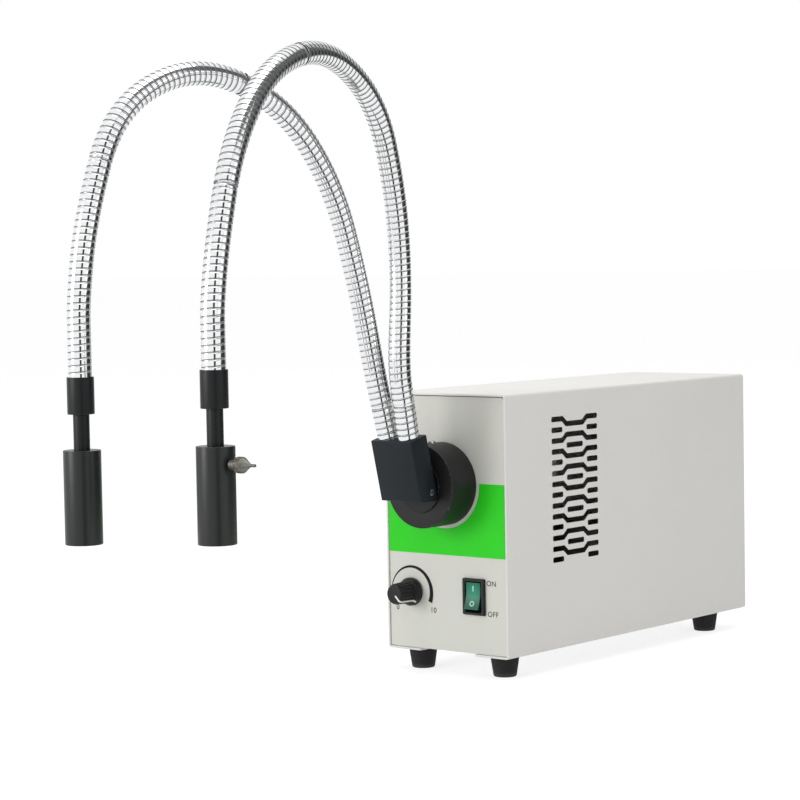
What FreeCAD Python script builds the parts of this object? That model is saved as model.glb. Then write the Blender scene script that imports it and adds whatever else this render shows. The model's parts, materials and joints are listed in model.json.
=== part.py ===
"""Fibre optic illuminator: a lamp housing with a dual gooseneck light guide.

Millimetres. While it is modelled, the origin is the middle of the housing's lower front edge,
+X to the right of someone facing the front panel, +Y towards the rear, +Z up. Each solid is
moved on export, so that z = 0 is the bench top and the origin is under the middle of the whole.
"""

import FreeCAD, Part

import math
import os

# ---------------------------------------------------------------- driving dimensions

# Housing
CASE_WIDTH = 88.0
CASE_HEIGHT = 150.0
CASE_LENGTH = 253.0
COVER_SHEET = 1.2
COVER_BEND_RADIUS = 2.0
COVER_LIP = 24.0
CHASSIS_SHEET = 1.5
CHASSIS_FLANGE = 12.0
CHASSIS_SIDE_GAP = 0.3
PANEL_SHEET = 1.5
PANEL_INSET = 0.8
PANEL_GAP = 0.5
PANEL_FLANGE = 10.0
PANEL_CORNER_RADIUS = 1.5

# Side vents: rows of short slots whose middles step half a pitch up or down
VENT_ROWS = 14
VENT_PITCH = 6.2
VENT_SLOT_WIDTH = 2.8
VENT_FRONT = 46.5
VENT_END_SLOT = 10.5
VENT_STEP = 4.0
VENT_MIDDLE = 15.5
VENT_TOP_ROW_HEIGHT = 132.6

# Green film round the light port
BAND_BOTTOM = 57.0
BAND_TOP = 99.0
BAND_THICKNESS = 0.3
BAND_HOLE_MARGIN = 2.0

# Feet
FOOT_HEIGHT = 12.3
FOOT_TOP_RADIUS = 8.5
FOOT_BOTTOM_RADIUS = 6.6
FOOT_SIDES = 14
FOOT_RECESS_RADIUS = 3.6
FOOT_RECESS_DEPTH = 5.0
FOOT_SPREAD = 60.0
FOOT_FRONT = 15.0
FOOT_REAR_INSET = 27.0

# Corners of the many-sided rings that stand for small and hidden round pieces
SMALL_SIDES = 10
ROUND_SIDES = 18

# Small screws: shank, pan head
SCREW_RADIUS = 1.5
SCREW_HOLE_CLEARANCE = 0.2
SCREW_HEAD_RADIUS = 2.8
SCREW_HEAD_HEIGHT = 2.0
SCREW_END = 3.0

# Light port
PORT_X = -1.5
PORT_HEIGHT = 98.2
COLLAR_RADIUS = 24.0
COLLAR_DEPTH = 22.0
COLLAR_CHAMFER = 0.8
COLLAR_SIDES = 40
SPIGOT_RADIUS = 14.0
SPIGOT_LENGTH = 7.0
PANEL_HOLE_CLEARANCE = 0.2
RUNNING_CLEARANCE = 0.05
BODY_GAP = 0.3
ADAPTER_RADIUS = 10.0
ADAPTER_FLANGE_RADIUS = 15.0
ADAPTER_FLANGE = 0.8
ADAPTER_TAIL = 6.0
LOCK_SCREW_RADIUS = 2.5
LOCK_SCREW_DEPTH = 11.0
LOCK_SCREW_PROUD = 1.3
LOCK_SLOT = 0.8

# Guide plug, dividing block and fibre bundle
PLUG_RADIUS = 6.5
PLUG_BORE = 4.8
PLUG_TAIL = 12.0
BLOCK_WIDTH = 29.0
BLOCK_THICKNESS = 14.5
BLOCK_FRONT_HEIGHT = 35.5
BLOCK_LEAN = 14.0
BLOCK_BELOW_PORT = 7.2
BLOCK_CHAMFER = 0.5
TRUNK_RADIUS = 4.5
BRANCH_RADIUS = 3.4
PASSAGE_CLEARANCE = 0.15
BRANCH_BACK = 1.6
SOCKET_DEPTH = 10.0
BLOCK_SCREW_RADIUS = 2.0
BLOCK_SCREW_LENGTH = 6.0
BLOCK_SCREW_BELOW_PORT = 2.2

# Gooseneck arms. Each arm lies in an upright plane that is splayed from straight ahead.
# Route points: reach from the block along that plane, and height above the housing's underside.
ARM_PITCH = 14.4
ARM_SPLAY = 11.05
HOSE_RADIUS = 6.25
ARM_ROUTES = {
    "left": ((9.4, 165.0), (20.0, 215.0), (37.0, 271.0), (72.0, 314.0), (127.0, 332.0),
             (178.0, 308.0), (197.0, 250.0), (202.5, 209.0), (202.5, 170.0)),
    "right": ((10.0, 168.0), (5.0, 217.0), (10.0, 264.0), (30.0, 314.0), (85.0, 340.0),
              (142.0, 326.0), (178.0, 286.0), (193.0, 240.0), (199.5, 208.0), (199.5, 175.0)),
}
RUN_SHARE = 0.45
MAX_MITRE = 12.0
KNEE_GAP = 0.3
KNEE_STEP = 30.0
HOSE_SIDES = 14

# Arm ends
FERRULE_RADIUS = 7.0
FERRULE_LENGTH = 19.0
FERRULE_GRIP = 8.0
STEM_RADIUS = 4.2
STEM_BORE = 3.5
STEM_SHOWN = 18.4
STEM_IN_BARREL = 14.0
STEM_IN_FERRULE = 9.0
BARREL_RADIUS = 9.75
BARREL_LENGTH = 48.5
BARREL_GUIDE_LENGTH = 18.0
BARREL_SIDES = 24
LENS_RADIUS = 8.0
LENS_SEAT_DEPTH = 40.0
LENS_LEDGE = 1.0
LENS_RIM = 2.5
LENS_DOME = 2.6
LENS_DOME_RADIUS = 7.0
RING_LENGTH = 3.5
THUMB_DROP = 8.8
THUMB_SHANK_RADIUS = 1.5
THUMB_NECK_RADIUS = 2.4
THUMB_NECK_LENGTH = 4.4
THUMB_HEAD_RADIUS = 4.1
THUMB_HEAD_LENGTH = 4.3
THUMB_HEAD_CHAMFER = 0.4
THUMB_CONE_LENGTH = 4.4
THUMB_PIN_RADIUS = 0.8
THUMB_PIN_LENGTH = 3.2
THUMB_SIDES = 20
# Direction of each barrel's thumbscrew, in degrees from +X
THUMB_HEADINGS = {"left": 135.0, "right": 0.0}

# Dimmer knob and potentiometer
KNOB_X = -26.0
KNOB_HEIGHT = 34.2
KNOB_GAP = 0.5
KNOB_SKIRT_RADIUS = 8.2
KNOB_SKIRT = 3.1
KNOB_SHOULDER = 1.6
KNOB_BODY_RADIUS = 6.6
KNOB_TIP_RADIUS = 6.1
KNOB_BODY = 11.0
KNOB_CHAMFER = 0.6
KNOB_WALL = 1.6
KNOB_CAP = 3.8
KNOB_SIDES = 24
SHAFT_RADIUS = 3.0
BUSHING_RADIUS = 3.6
BUSHING_PROUD = 2.8
POT_RADIUS = 8.5
POT_DEPTH = 9.5
POT_NUT_FLATS = 10.0
POT_NUT_HEIGHT = 1.9

# Rocker switch
SWITCH_X = 20.0
SWITCH_HEIGHT = 34.3
BEZEL_WIDTH = 15.5
BEZEL_HEIGHT = 21.0
BEZEL_PROUD = 2.0
BEZEL_CORNER = 0.8
SWITCH_BODY_WIDTH = 13.0
SWITCH_BODY_HEIGHT = 19.2
SWITCH_BODY_DEPTH = 14.0
POCKET_WIDTH = 11.2
POCKET_HEIGHT = 17.4
POCKET_DEPTH = 8.0
ROCKER_SIDE_GAP = 0.35
ROCKER_HALF_HEIGHT = 7.7
ROCKER_TIP = 3.0
ROCKER_VALLEY = 1.9
ROCKER_BACK = 4.5
ROCKER_BACK_HALF_HEIGHT = 5.6
ROCKER_PIVOT_DEPTH = 1.0
ROCKER_PIN_RADIUS = 1.0
ROCKER_TILT = 9.0
TERMINAL_WIDTH = 6.3
TERMINAL_SHEET = 0.8
TERMINAL_LENGTH = 8.0
TERMINAL_PITCH = 6.0

# Lamp, bracket and heat filter
LAMP_RIM_RADIUS = 25.3
LAMP_RIM = 3.0
LAMP_DEPTH = 33.0
LAMP_NECK_RADIUS = 11.0
LAMP_WALL = 1.5
LAMP_BASE_WIDTH = 18.0
LAMP_BASE_HEIGHT = 11.0
LAMP_BASE = 10.0
SOCKET_WIDTH = 20.0
SOCKET_HEIGHT = 13.0
SOCKET_LENGTH = 12.0
BRACKET_Y = 38.0
BRACKET_SHEET = 1.5
BRACKET_WIDTH = 68.0
BRACKET_TOP = 134.0
BRACKET_FOOT = 16.0
BRACKET_APERTURE_RADIUS = 18.0
FILTER_RADIUS = 21.0
FILTER_THICKNESS = 3.0

# Transformer
CORE_WIDTH = 66.0
CORE_HEIGHT = 56.0
CORE_STACK = 36.0
CORE_Y = 152.0
CORE_LIMB = 11.0
COIL_OVERHANG = 12.0
COIL_CLEARANCE = 0.5
COIL_CORNER_RADIUS = 3.0

# Dimmer board
BOARD_X = -2.0
BOARD_Y = 84.0
BOARD_WIDTH = 56.0
BOARD_LENGTH = 48.0
BOARD_THICKNESS = 1.6
BOARD_STANDOFF = 6.0
STANDOFF_FLATS = 5.5
STANDOFF_INSET = 4.0
SINK_WIDTH = 30.0
SINK_LENGTH = 22.0
SINK_HEIGHT = 22.0
SINK_BASE = 3.0
SINK_FINS = 6
SINK_FIN = 1.4

# Fan at the rear
FAN_X = 0.0
FAN_HEIGHT = 108.0
FAN_SIZE = 60.0
FAN_DEPTH = 15.0
FAN_BORE_RADIUS = 28.4
FAN_CORNER_RADIUS = 3.0
FAN_SCREW_PITCH = 50.0
FAN_SCREW_WALL = 1.8
FAN_BASE_RADIUS = 10.5
FAN_BASE = 2.5
FAN_SPOKES = 3
FAN_SPOKE_WIDTH = 3.0
FAN_BEARING_RADIUS = 3.2
FAN_SHAFT_RADIUS = 1.5
FAN_HUB_RADIUS = 11.5
FAN_HUB_WALL = 1.5
FAN_BLADES = 7
FAN_BLADE_RADIUS = 27.6
FAN_BLADE_SHEET = 1.2
FAN_BLADE_PITCH = 38.0
FAN_GRILLE_SLOTS = 9
FAN_GRILLE_PITCH = 5.6
FAN_GRILLE_SLOT = 3.0
FAN_GRILLE_RADIUS = 26.5

# Mains inlet with fuse drawer
INLET_X = -18.0
INLET_HEIGHT = 38.0
INLET_FLANGE_WIDTH = 31.0
INLET_FLANGE_HEIGHT = 40.0
INLET_FLANGE = 2.5
INLET_CORNER = 2.0
INLET_BODY_WIDTH = 27.4
INLET_BODY_HEIGHT = 34.0
INLET_BODY_DEPTH = 24.0
INLET_CAVITY_WIDTH = 24.4
INLET_CAVITY_HEIGHT = 16.4
INLET_CAVITY_CORNER = 4.5
INLET_CAVITY_DEPTH = 17.0
INLET_CAVITY_DROP = 6.5
PIN_WIDTH = 2.0
PIN_HEIGHT = 4.0
PIN_LENGTH = 14.0
PIN_SPREAD = 14.0
PIN_RISE = 4.0
DRAWER_RISE = 9.5
DRAWER_WIDTH = 23.0
DRAWER_HEIGHT = 8.0
DRAWER_DEPTH = 20.0
DRAWER_WALL = 1.2
DRAWER_LIP = 1.2
FUSE_RADIUS = 2.5
FUSE_LENGTH = 15.0

# Rear panel screws, besides the fan's
REAR_SCREW_SPREAD = 60.0
REAR_SCREW_HEIGHT = 8.0

# ---------------------------------------------------------------- derived places

X_AXIS = FreeCAD.Vector(1, 0, 0)
Y_AXIS = FreeCAD.Vector(0, 1, 0)
Z_AXIS = FreeCAD.Vector(0, 0, 1)
FORWARD = FreeCAD.Vector(0, -1, 0)
DOWN = FreeCAD.Vector(0, 0, -1)
SIDES = {"left": -1, "right": 1}
CUT_MARGIN = 1.0

PANEL_FACE = PANEL_INSET
PANEL_BACK = PANEL_INSET + PANEL_SHEET
REAR_FACE = CASE_LENGTH - PANEL_INSET
REAR_INNER = REAR_FACE - PANEL_SHEET
FLOOR_TOP = COVER_SHEET + CHASSIS_SHEET
PANEL_HALF_WIDTH = CASE_WIDTH / 2 - COVER_SHEET - PANEL_GAP
PANEL_LOW = COVER_SHEET + PANEL_GAP
PANEL_HIGH = CASE_HEIGHT - COVER_SHEET - PANEL_GAP
FAN_SCREW_ROWS = (FAN_HEIGHT - FAN_SCREW_PITCH / 2, FAN_HEIGHT + FAN_SCREW_PITCH / 2)
REAR_SCREW_PLACES = tuple(
    [(FAN_X + x * FAN_SCREW_PITCH / 2, height) for x in (-1, 1) for height in FAN_SCREW_ROWS]
    + [(x * REAR_SCREW_SPREAD / 2, REAR_SCREW_HEIGHT) for x in (-1, 1)]
)
FOOT_ROWS = (FOOT_FRONT, CASE_LENGTH - FOOT_REAR_INSET)
FOOT_PLACES = tuple((x * FOOT_SPREAD / 2, y) for x in (-1, 1) for y in FOOT_ROWS)
ADAPTER_FRONT = COLLAR_DEPTH + BODY_GAP + ADAPTER_FLANGE

# Dividing block: side outline, from the foot of its rear face round to the top of that face
LEAN = math.radians(BLOCK_LEAN)
BLOCK_UNDER = PORT_HEIGHT - BLOCK_BELOW_PORT
BLOCK_REAR_Y = PANEL_FACE - ADAPTER_FRONT - BODY_GAP
BLOCK_FRONT_Y = BLOCK_REAR_Y - BLOCK_THICKNESS / math.cos(LEAN)
BLOCK_FRONT_TOP = (
    BLOCK_FRONT_Y - BLOCK_FRONT_HEIGHT * math.sin(LEAN),
    BLOCK_UNDER + BLOCK_FRONT_HEIGHT * math.cos(LEAN),
)
BLOCK_REAR_TOP = (
    BLOCK_FRONT_TOP[0] + BLOCK_THICKNESS * math.cos(LEAN),
    BLOCK_FRONT_TOP[1] + BLOCK_THICKNESS * math.sin(LEAN),
)
EXIT_Y = (BLOCK_FRONT_TOP[0] + BLOCK_REAR_TOP[0]) / 2
EXIT_HEIGHT = (BLOCK_FRONT_TOP[1] + BLOCK_REAR_TOP[1]) / 2

TIP_REACH = -EXIT_Y + max(route[-1][0] for route in ARM_ROUTES.values()) * math.cos(
    math.radians(ARM_SPLAY)
)
REAR_OVERHANG = INLET_FLANGE - PANEL_INSET
FRONT_Y = (TIP_REACH + BARREL_RADIUS - CASE_LENGTH - REAR_OVERHANG) / 2
ORIGIN_SHIFT = FreeCAD.Vector(0, FRONT_Y, FOOT_HEIGHT)


# ---------------------------------------------------------------- general shapes


def vec(x, y, z):
    """A point or a direction."""
    return FreeCAD.Vector(x, y, z)


def box(x_range, y_range, z_range):
    """A box between three pairs of coordinates."""
    corner = vec(x_range[0], y_range[0], z_range[0])
    size = (x_range[1] - x_range[0], y_range[1] - y_range[0], z_range[1] - z_range[0])
    return Part.makeBox(*size, corner)


def around(centre, size):
    """The pair of coordinates of something of this size about a centre."""
    return centre - size / 2, centre + size / 2


def edges_along(shape, direction):
    """The straight edges of a shape that run along a direction."""
    found = []
    for edge in shape.Edges:
        run = edge.Vertexes[-1].Point - edge.Vertexes[0].Point
        if run.Length > 0 and abs(run.normalize().dot(direction)) > 0.999:
            found.append(edge)
    return found


def rounded_box(x_range, y_range, z_range, radius, direction):
    """A box whose edges along a direction are rounded."""
    plain = box(x_range, y_range, z_range)
    return plain.makeFillet(radius, edges_along(plain, direction))


def rod(radius, start, end):
    """A cylinder between two points."""
    run = end - start
    return Part.makeCylinder(radius, run.Length, start, run)


def skin(rings, capped):
    """A solid whose skin joins rings of points; it ends flat, or joins back on its first ring."""
    faces = []
    if capped:
        faces = [Part.Face(Part.makePolygon(ring + ring[:1])) for ring in (rings[0], rings[-1])]
        pairs = zip(rings, rings[1:])
    else:
        pairs = zip(rings, rings[1:] + rings[:1])
    for before, after in pairs:
        for k in range(len(before)):
            corners = [before[k - 1], before[k], after[k], after[k - 1]]
            faces.append(Part.Face(Part.makePolygon(corners + corners[:1])))
    shell = Part.Shell(faces)
    shell.sewShape()
    solid = Part.Solid(shell).removeSplitter()
    return solid if solid.Volume > 0 else solid.reversed()


def faceted(outline, origin, axis, sides):
    """A turned solid with many flat sides; the outline's points are (corner radius, distance)."""
    capped = outline[0][0] == 0
    angles = [2 * math.pi * k / sides for k in range(sides)]
    spokes = [vec(math.cos(angle), math.sin(angle), 0) for angle in angles]
    rings = [
        [spoke * radius + Z_AXIS * distance for spoke in spokes] for radius, distance in outline if radius > 0
    ]
    solid = skin(rings, capped)
    solid.Placement = FreeCAD.Placement(origin, FreeCAD.Rotation(Z_AXIS, axis))
    return solid


def bar(radius, start, end, sides):
    """A many-sided rod between two points."""
    run = end - start
    return faceted([(0, 0), (radius, 0), (radius, run.Length), (0, run.Length)], start, run, sides)


def over_flats(radius, sides):
    """Corner radius of a many-sided hole that leaves a radius clear."""
    return radius / math.cos(math.pi / sides)


def prism(points, direction):
    """A flat outline of points, extruded along a direction."""
    return Part.Face(Part.makePolygon(points + points[:1])).extrude(direction)


def hexagon(flats, start, run):
    """A hexagonal bar along X, Y or Z, from a start point."""
    radius = flats / math.sqrt(3)
    bar = prism(
        [vec(radius * math.cos(math.pi * k / 3), radius * math.sin(math.pi * k / 3), 0) for k in range(6)],
        vec(0, 0, run.Length),
    )
    bar.Placement = FreeCAD.Placement(start, FreeCAD.Rotation(Z_AXIS, run))
    return bar


def fused(solids):
    """Several touching solids as one."""
    first, *others = solids
    return first.fuse(others).removeSplitter()


def slot_outline(path, width):
    """Outline of a slot of one width that follows a path of (u, v) points."""
    runs = [(b[0] - a[0], b[1] - a[1]) for a, b in zip(path, path[1:])]
    units = [(u / math.hypot(u, v), v / math.hypot(u, v)) for u, v in runs]
    one_side, other_side = [], []
    for point, before, after in zip(path, units[:1] + units, units + units[-1:]):
        share = (1 + before[0] * after[0] + before[1] * after[1]) * 2 / width
        normal = ((-before[1] - after[1]) / share, (before[0] + after[0]) / share)
        one_side.append((point[0] + normal[0], point[1] + normal[1]))
        other_side.append((point[0] - normal[0], point[1] - normal[1]))
    return one_side + other_side[::-1]


# ---------------------------------------------------------------- housing


def side_vent_paths():
    """Paths of the side vents' slots, as (y, z): an interlaced pattern of long hexagons."""
    front_in = VENT_FRONT + VENT_END_SLOT
    middle_start = front_in + VENT_STEP
    middle_end = middle_start + VENT_MIDDLE
    rear_in = middle_end + VENT_STEP
    rear_end = rear_in + VENT_END_SLOT
    paths = []
    for row in range(VENT_ROWS):
        level = VENT_TOP_ROW_HEIGHT - row * VENT_PITCH
        if row % 3 == 1:
            paths.append([(VENT_FRONT, level), (front_in, level)])
            paths.append([(rear_in, level), (rear_end, level)])
            continue
        step = -VENT_PITCH / 2 if row % 3 == 0 else VENT_PITCH / 2
        paths.append([
            (VENT_FRONT, level), (front_in, level), (middle_start, level + step),
            (middle_end, level + step), (rear_in, level), (rear_end, level),
        ])
        if row % 3 == 2 and row < VENT_ROWS - 1:
            between = level - VENT_PITCH / 2
            paths.append([(middle_start, between), (middle_end, between)])
    return paths


def make_cover():
    """Inverted-U cover: one bent sheet with lips under the housing and vents in both sides."""
    half = CASE_WIDTH / 2
    inner_half = half - COVER_SHEET
    outside = rounded_box((-half, half), (0, CASE_LENGTH), (0, CASE_HEIGHT), COVER_BEND_RADIUS, Y_AXIS)
    inside = rounded_box(
        (-inner_half, inner_half),
        (-CUT_MARGIN, CASE_LENGTH + CUT_MARGIN),
        (COVER_SHEET, CASE_HEIGHT - COVER_SHEET),
        COVER_BEND_RADIUS - COVER_SHEET,
        Y_AXIS,
    )
    underside = box(
        (COVER_LIP - half, half - COVER_LIP),
        (-CUT_MARGIN, CASE_LENGTH + CUT_MARGIN),
        (-CUT_MARGIN, COVER_SHEET + CUT_MARGIN),
    )
    slots = []
    for path in side_vent_paths():
        outline = [vec(-half - CUT_MARGIN, y, z) for y, z in slot_outline(path, VENT_SLOT_WIDTH)]
        slots.append(prism(outline, vec(CASE_WIDTH + 2 * CUT_MARGIN, 0, 0)))
    return outside.cut(inside).cut(underside).cut(slots).cut(foot_screw_holes(0))


def screw_hole(start, end):
    """Cutter for a small screw's clearance hole."""
    return bar(over_flats(SCREW_RADIUS + SCREW_HOLE_CLEARANCE, SMALL_SIDES), start, end, SMALL_SIDES)


def foot_screw_holes(low):
    """Cutters for the holes that the foot screws pass through, upwards from a height."""
    top = FLOOR_TOP + CUT_MARGIN
    return [screw_hole(vec(x, y, low - CUT_MARGIN), vec(x, y, top)) for x, y in FOOT_PLACES]


def make_chassis():
    """Folded base tray that the cover's lips carry and both panels stand against."""
    half = CASE_WIDTH / 2 - COVER_SHEET - CHASSIS_SIDE_GAP
    tray = box((-half, half), (PANEL_BACK, REAR_INNER), (COVER_SHEET, COVER_SHEET + CHASSIS_FLANGE))
    low_edges = [edge for edge in edges_along(tray, Y_AXIS) if edge.CenterOfMass.z < FLOOR_TOP]
    tray = tray.makeFillet(COVER_BEND_RADIUS / 2, low_edges)
    hollow = box(
        (CHASSIS_SHEET - half, half - CHASSIS_SHEET),
        (PANEL_BACK + CHASSIS_SHEET, REAR_INNER - CHASSIS_SHEET),
        (FLOOR_TOP, COVER_SHEET + CHASSIS_FLANGE + CUT_MARGIN),
    )
    rear_holes = [
        screw_hole(vec(x, REAR_INNER - 2 * CHASSIS_SHEET, z), vec(x, REAR_INNER + CUT_MARGIN, z))
        for x, z in REAR_SCREW_PLACES[-2:]
    ]
    # The side walls stop short of the panels' flanges
    corners = [
        box((low, low + 2 * CHASSIS_SHEET), y_range, (FLOOR_TOP, CASE_HEIGHT))
        for low in (-half, half - 2 * CHASSIS_SHEET)
        for y_range in (
            (PANEL_BACK - CUT_MARGIN, PANEL_BACK + PANEL_FLANGE + CHASSIS_SIDE_GAP),
            (REAR_INNER - PANEL_FLANGE - CHASSIS_SIDE_GAP, REAR_INNER + CUT_MARGIN),
        )
    ]
    return tray.cut([hollow] + corners + rear_holes + foot_screw_holes(0))


def panel_tray(face_y, inner_y, flange_end_y):
    """A panel with corners rounded at the top and flanges along its sides and top."""
    outline_z = (PANEL_LOW, PANEL_HIGH)
    near, far = sorted((face_y, flange_end_y))
    block = box((-PANEL_HALF_WIDTH, PANEL_HALF_WIDTH), (near, far), outline_z)
    top_edges = [edge for edge in edges_along(block, Y_AXIS) if edge.CenterOfMass.z > CASE_HEIGHT / 2]
    block = block.makeFillet(PANEL_CORNER_RADIUS, top_edges)
    low, high = sorted((inner_y, flange_end_y + math.copysign(CUT_MARGIN, flange_end_y - face_y)))
    hollow = box(
        (PANEL_SHEET - PANEL_HALF_WIDTH, PANEL_HALF_WIDTH - PANEL_SHEET),
        (low, high),
        (PANEL_LOW - CUT_MARGIN, PANEL_HIGH - PANEL_SHEET),
    )
    under_flanges = box(
        (-CASE_WIDTH, CASE_WIDTH), (low, high), (PANEL_LOW - CUT_MARGIN, FLOOR_TOP + CHASSIS_SIDE_GAP)
    )
    return block.cut([hollow, under_flanges])


def make_front_panel():
    """Front panel with the port hole, the potentiometer hole and the switch cut-out."""
    panel = panel_tray(PANEL_FACE, PANEL_BACK, PANEL_BACK + PANEL_FLANGE)
    before, behind = PANEL_FACE - CUT_MARGIN, PANEL_BACK + CUT_MARGIN
    port_ends = [vec(PORT_X, y, PORT_HEIGHT) for y in (before, behind)]
    port = rod(SPIGOT_RADIUS + PANEL_HOLE_CLEARANCE, *port_ends)
    bushing_ends = [vec(KNOB_X, y, KNOB_HEIGHT) for y in (behind, before)]
    bushing = bar(BUSHING_RADIUS, *bushing_ends, KNOB_SIDES)
    switch = box(
        around(SWITCH_X, SWITCH_BODY_WIDTH), (before, behind), around(SWITCH_HEIGHT, SWITCH_BODY_HEIGHT)
    )
    return panel.cut([port, bushing, switch])


def make_rear_panel():
    """Rear panel with the fan's slotted grille, the inlet's cut-out and screw holes."""
    panel = panel_tray(REAR_FACE, REAR_INNER, REAR_INNER - PANEL_FLANGE)
    before, behind = REAR_INNER - CUT_MARGIN, REAR_FACE + CUT_MARGIN
    cutters = [
        box(around(INLET_X, INLET_BODY_WIDTH), (before, behind), around(INLET_HEIGHT, INLET_BODY_HEIGHT))
    ]
    for index in range(FAN_GRILLE_SLOTS):
        rise = (index - (FAN_GRILLE_SLOTS - 1) / 2) * FAN_GRILLE_PITCH
        half = math.sqrt(FAN_GRILLE_RADIUS**2 - rise**2)
        path = [(FAN_X - half, FAN_HEIGHT + rise), (FAN_X + half, FAN_HEIGHT + rise)]
        outline = [vec(x, before, z) for x, z in slot_outline(path, FAN_GRILLE_SLOT)]
        cutters.append(prism(outline, vec(0, behind - before, 0)))
    cutters += [screw_hole(vec(x, before, z), vec(x, behind, z)) for x, z in REAR_SCREW_PLACES]
    return panel.cut(cutters)


def make_green_band():
    """Thin film across the panel, with a round hole a little larger than the collar."""
    film = box(
        (-PANEL_HALF_WIDTH, PANEL_HALF_WIDTH),
        (PANEL_FACE - BAND_THICKNESS, PANEL_FACE),
        (BAND_BOTTOM, BAND_TOP),
    )
    hole = rod(
        COLLAR_RADIUS + BAND_HOLE_MARGIN,
        vec(PORT_X, PANEL_FACE - BAND_THICKNESS - CUT_MARGIN, PORT_HEIGHT),
        vec(PORT_X, PANEL_FACE + CUT_MARGIN, PORT_HEIGHT),
    )
    return film.cut(hole)


def make_feet():
    """Four tapered rubber feet, each with a recess for its screw."""
    hole_radius = over_flats(SCREW_RADIUS + SCREW_HOLE_CLEARANCE, FOOT_SIDES)
    outline = [
        (hole_radius, 0), (FOOT_TOP_RADIUS, 0), (FOOT_BOTTOM_RADIUS, FOOT_HEIGHT),
        (FOOT_RECESS_RADIUS, FOOT_HEIGHT),
        (FOOT_RECESS_RADIUS, FOOT_HEIGHT - FOOT_RECESS_DEPTH), (hole_radius, FOOT_HEIGHT - FOOT_RECESS_DEPTH),
    ]
    return Part.makeCompound([faceted(outline, vec(x, y, 0), DOWN, FOOT_SIDES) for x, y in FOOT_PLACES])


def pan_screw(seat, inward, length):
    """A pan head screw: the head's underside is at the seat and the shank runs inward."""
    outline = [
        (0, length), (SCREW_RADIUS, length), (SCREW_RADIUS, 0), (SCREW_HEAD_RADIUS, 0),
        (SCREW_HEAD_RADIUS, -SCREW_HEAD_HEIGHT), (0, -SCREW_HEAD_HEIGHT),
    ]
    return faceted(outline, seat, inward, SMALL_SIDES)


def make_foot_screws():
    """The screws that hold each foot, the cover's lips and the chassis together."""
    seat = FOOT_RECESS_DEPTH - FOOT_HEIGHT
    length = FLOOR_TOP + SCREW_END - seat
    return Part.makeCompound([pan_screw(vec(x, y, seat), Z_AXIS, length) for x, y in FOOT_PLACES])


def make_rear_screws():
    """Four fan screws and two panel screws, seen on the rear."""
    length = PANEL_SHEET + CHASSIS_SHEET + SCREW_END
    return Part.makeCompound([pan_screw(vec(x, REAR_FACE, z), FORWARD, length) for x, z in REAR_SCREW_PLACES])


# ---------------------------------------------------------------- light port


def port_point(forward):
    """A point on the port's axis, a distance in front of the panel's face."""
    return vec(PORT_X, PANEL_FACE - forward, PORT_HEIGHT)


def make_port_collar():
    """The port's collar, with a spigot through the panel and a tapped hole for its lock screw."""
    outline = [
        (0, -SPIGOT_LENGTH), (SPIGOT_RADIUS, -SPIGOT_LENGTH), (SPIGOT_RADIUS, 0), (COLLAR_RADIUS, 0),
        (COLLAR_RADIUS, COLLAR_DEPTH - COLLAR_CHAMFER), (COLLAR_RADIUS - COLLAR_CHAMFER, COLLAR_DEPTH),
        (0, COLLAR_DEPTH),
    ]
    collar = faceted(outline, port_point(0), FORWARD, COLLAR_SIDES)
    behind, before = port_point(-SPIGOT_LENGTH - CUT_MARGIN), port_point(COLLAR_DEPTH + CUT_MARGIN)
    bore = rod(ADAPTER_RADIUS + RUNNING_CLEARANCE, behind, before)
    start = port_point(LOCK_SCREW_DEPTH)
    hole = rod(LOCK_SCREW_RADIUS + RUNNING_CLEARANCE, start, start + Z_AXIS * (COLLAR_RADIUS + CUT_MARGIN))
    return collar.cut([bore, hole])


def make_port_lock_screw():
    """Slotted grub screw in the top of the collar."""
    axis_point = port_point(LOCK_SCREW_DEPTH)
    tip = axis_point + Z_AXIS * (ADAPTER_RADIUS + BODY_GAP)
    top = axis_point + Z_AXIS * (COLLAR_RADIUS + LOCK_SCREW_PROUD)
    slot = box(
        around(top.x, 3 * LOCK_SCREW_RADIUS),
        around(top.y, LOCK_SLOT),
        (top.z - LOCK_SLOT, top.z + CUT_MARGIN),
    )
    return rod(LOCK_SCREW_RADIUS, tip, top).cut(slot)


def make_port_adapter():
    """Sleeve that slides into the collar and that the guide's plug turns in."""
    seat = COLLAR_DEPTH + BODY_GAP
    outline = [
        (0, -ADAPTER_TAIL), (ADAPTER_RADIUS, -ADAPTER_TAIL), (ADAPTER_RADIUS, seat),
        (ADAPTER_FLANGE_RADIUS, seat), (ADAPTER_FLANGE_RADIUS, ADAPTER_FRONT), (0, ADAPTER_FRONT),
    ]
    ends = port_point(-ADAPTER_TAIL - CUT_MARGIN), port_point(ADAPTER_FRONT + CUT_MARGIN)
    bore = rod(PLUG_RADIUS + RUNNING_CLEARANCE, *ends)
    return faceted(outline, port_point(0), FORWARD, COLLAR_SIDES).cut(bore)


# ---------------------------------------------------------------- arm routes


def arm_point(side, reach, height):
    """A point of an arm's plane, given its reach from the block and its height."""
    splay = math.radians(ARM_SPLAY)
    sign = SIDES[side]
    x = PORT_X + sign * (ARM_PITCH / 2 + reach * math.sin(splay))
    return vec(x, EXIT_Y - reach * math.cos(splay), height)


def arm_route(side):
    """All route points of an arm, from the top of the block to the end ferrule."""
    return [arm_point(side, 0, EXIT_HEIGHT)] + [arm_point(side, *point) for point in ARM_ROUTES[side]]


def knee_runs(side):
    """Runs that hold the knees: the first, then the fifth and the third from the arm's end."""
    count = len(ARM_ROUTES[side])
    return 0, count - 5, count - 3


def knee_centre(side, index):
    """Centre of a knee: the middle of its run."""
    route = arm_route(side)
    run = knee_runs(side)[index]
    return (route[run] + route[run + 1]) * 0.5


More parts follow.
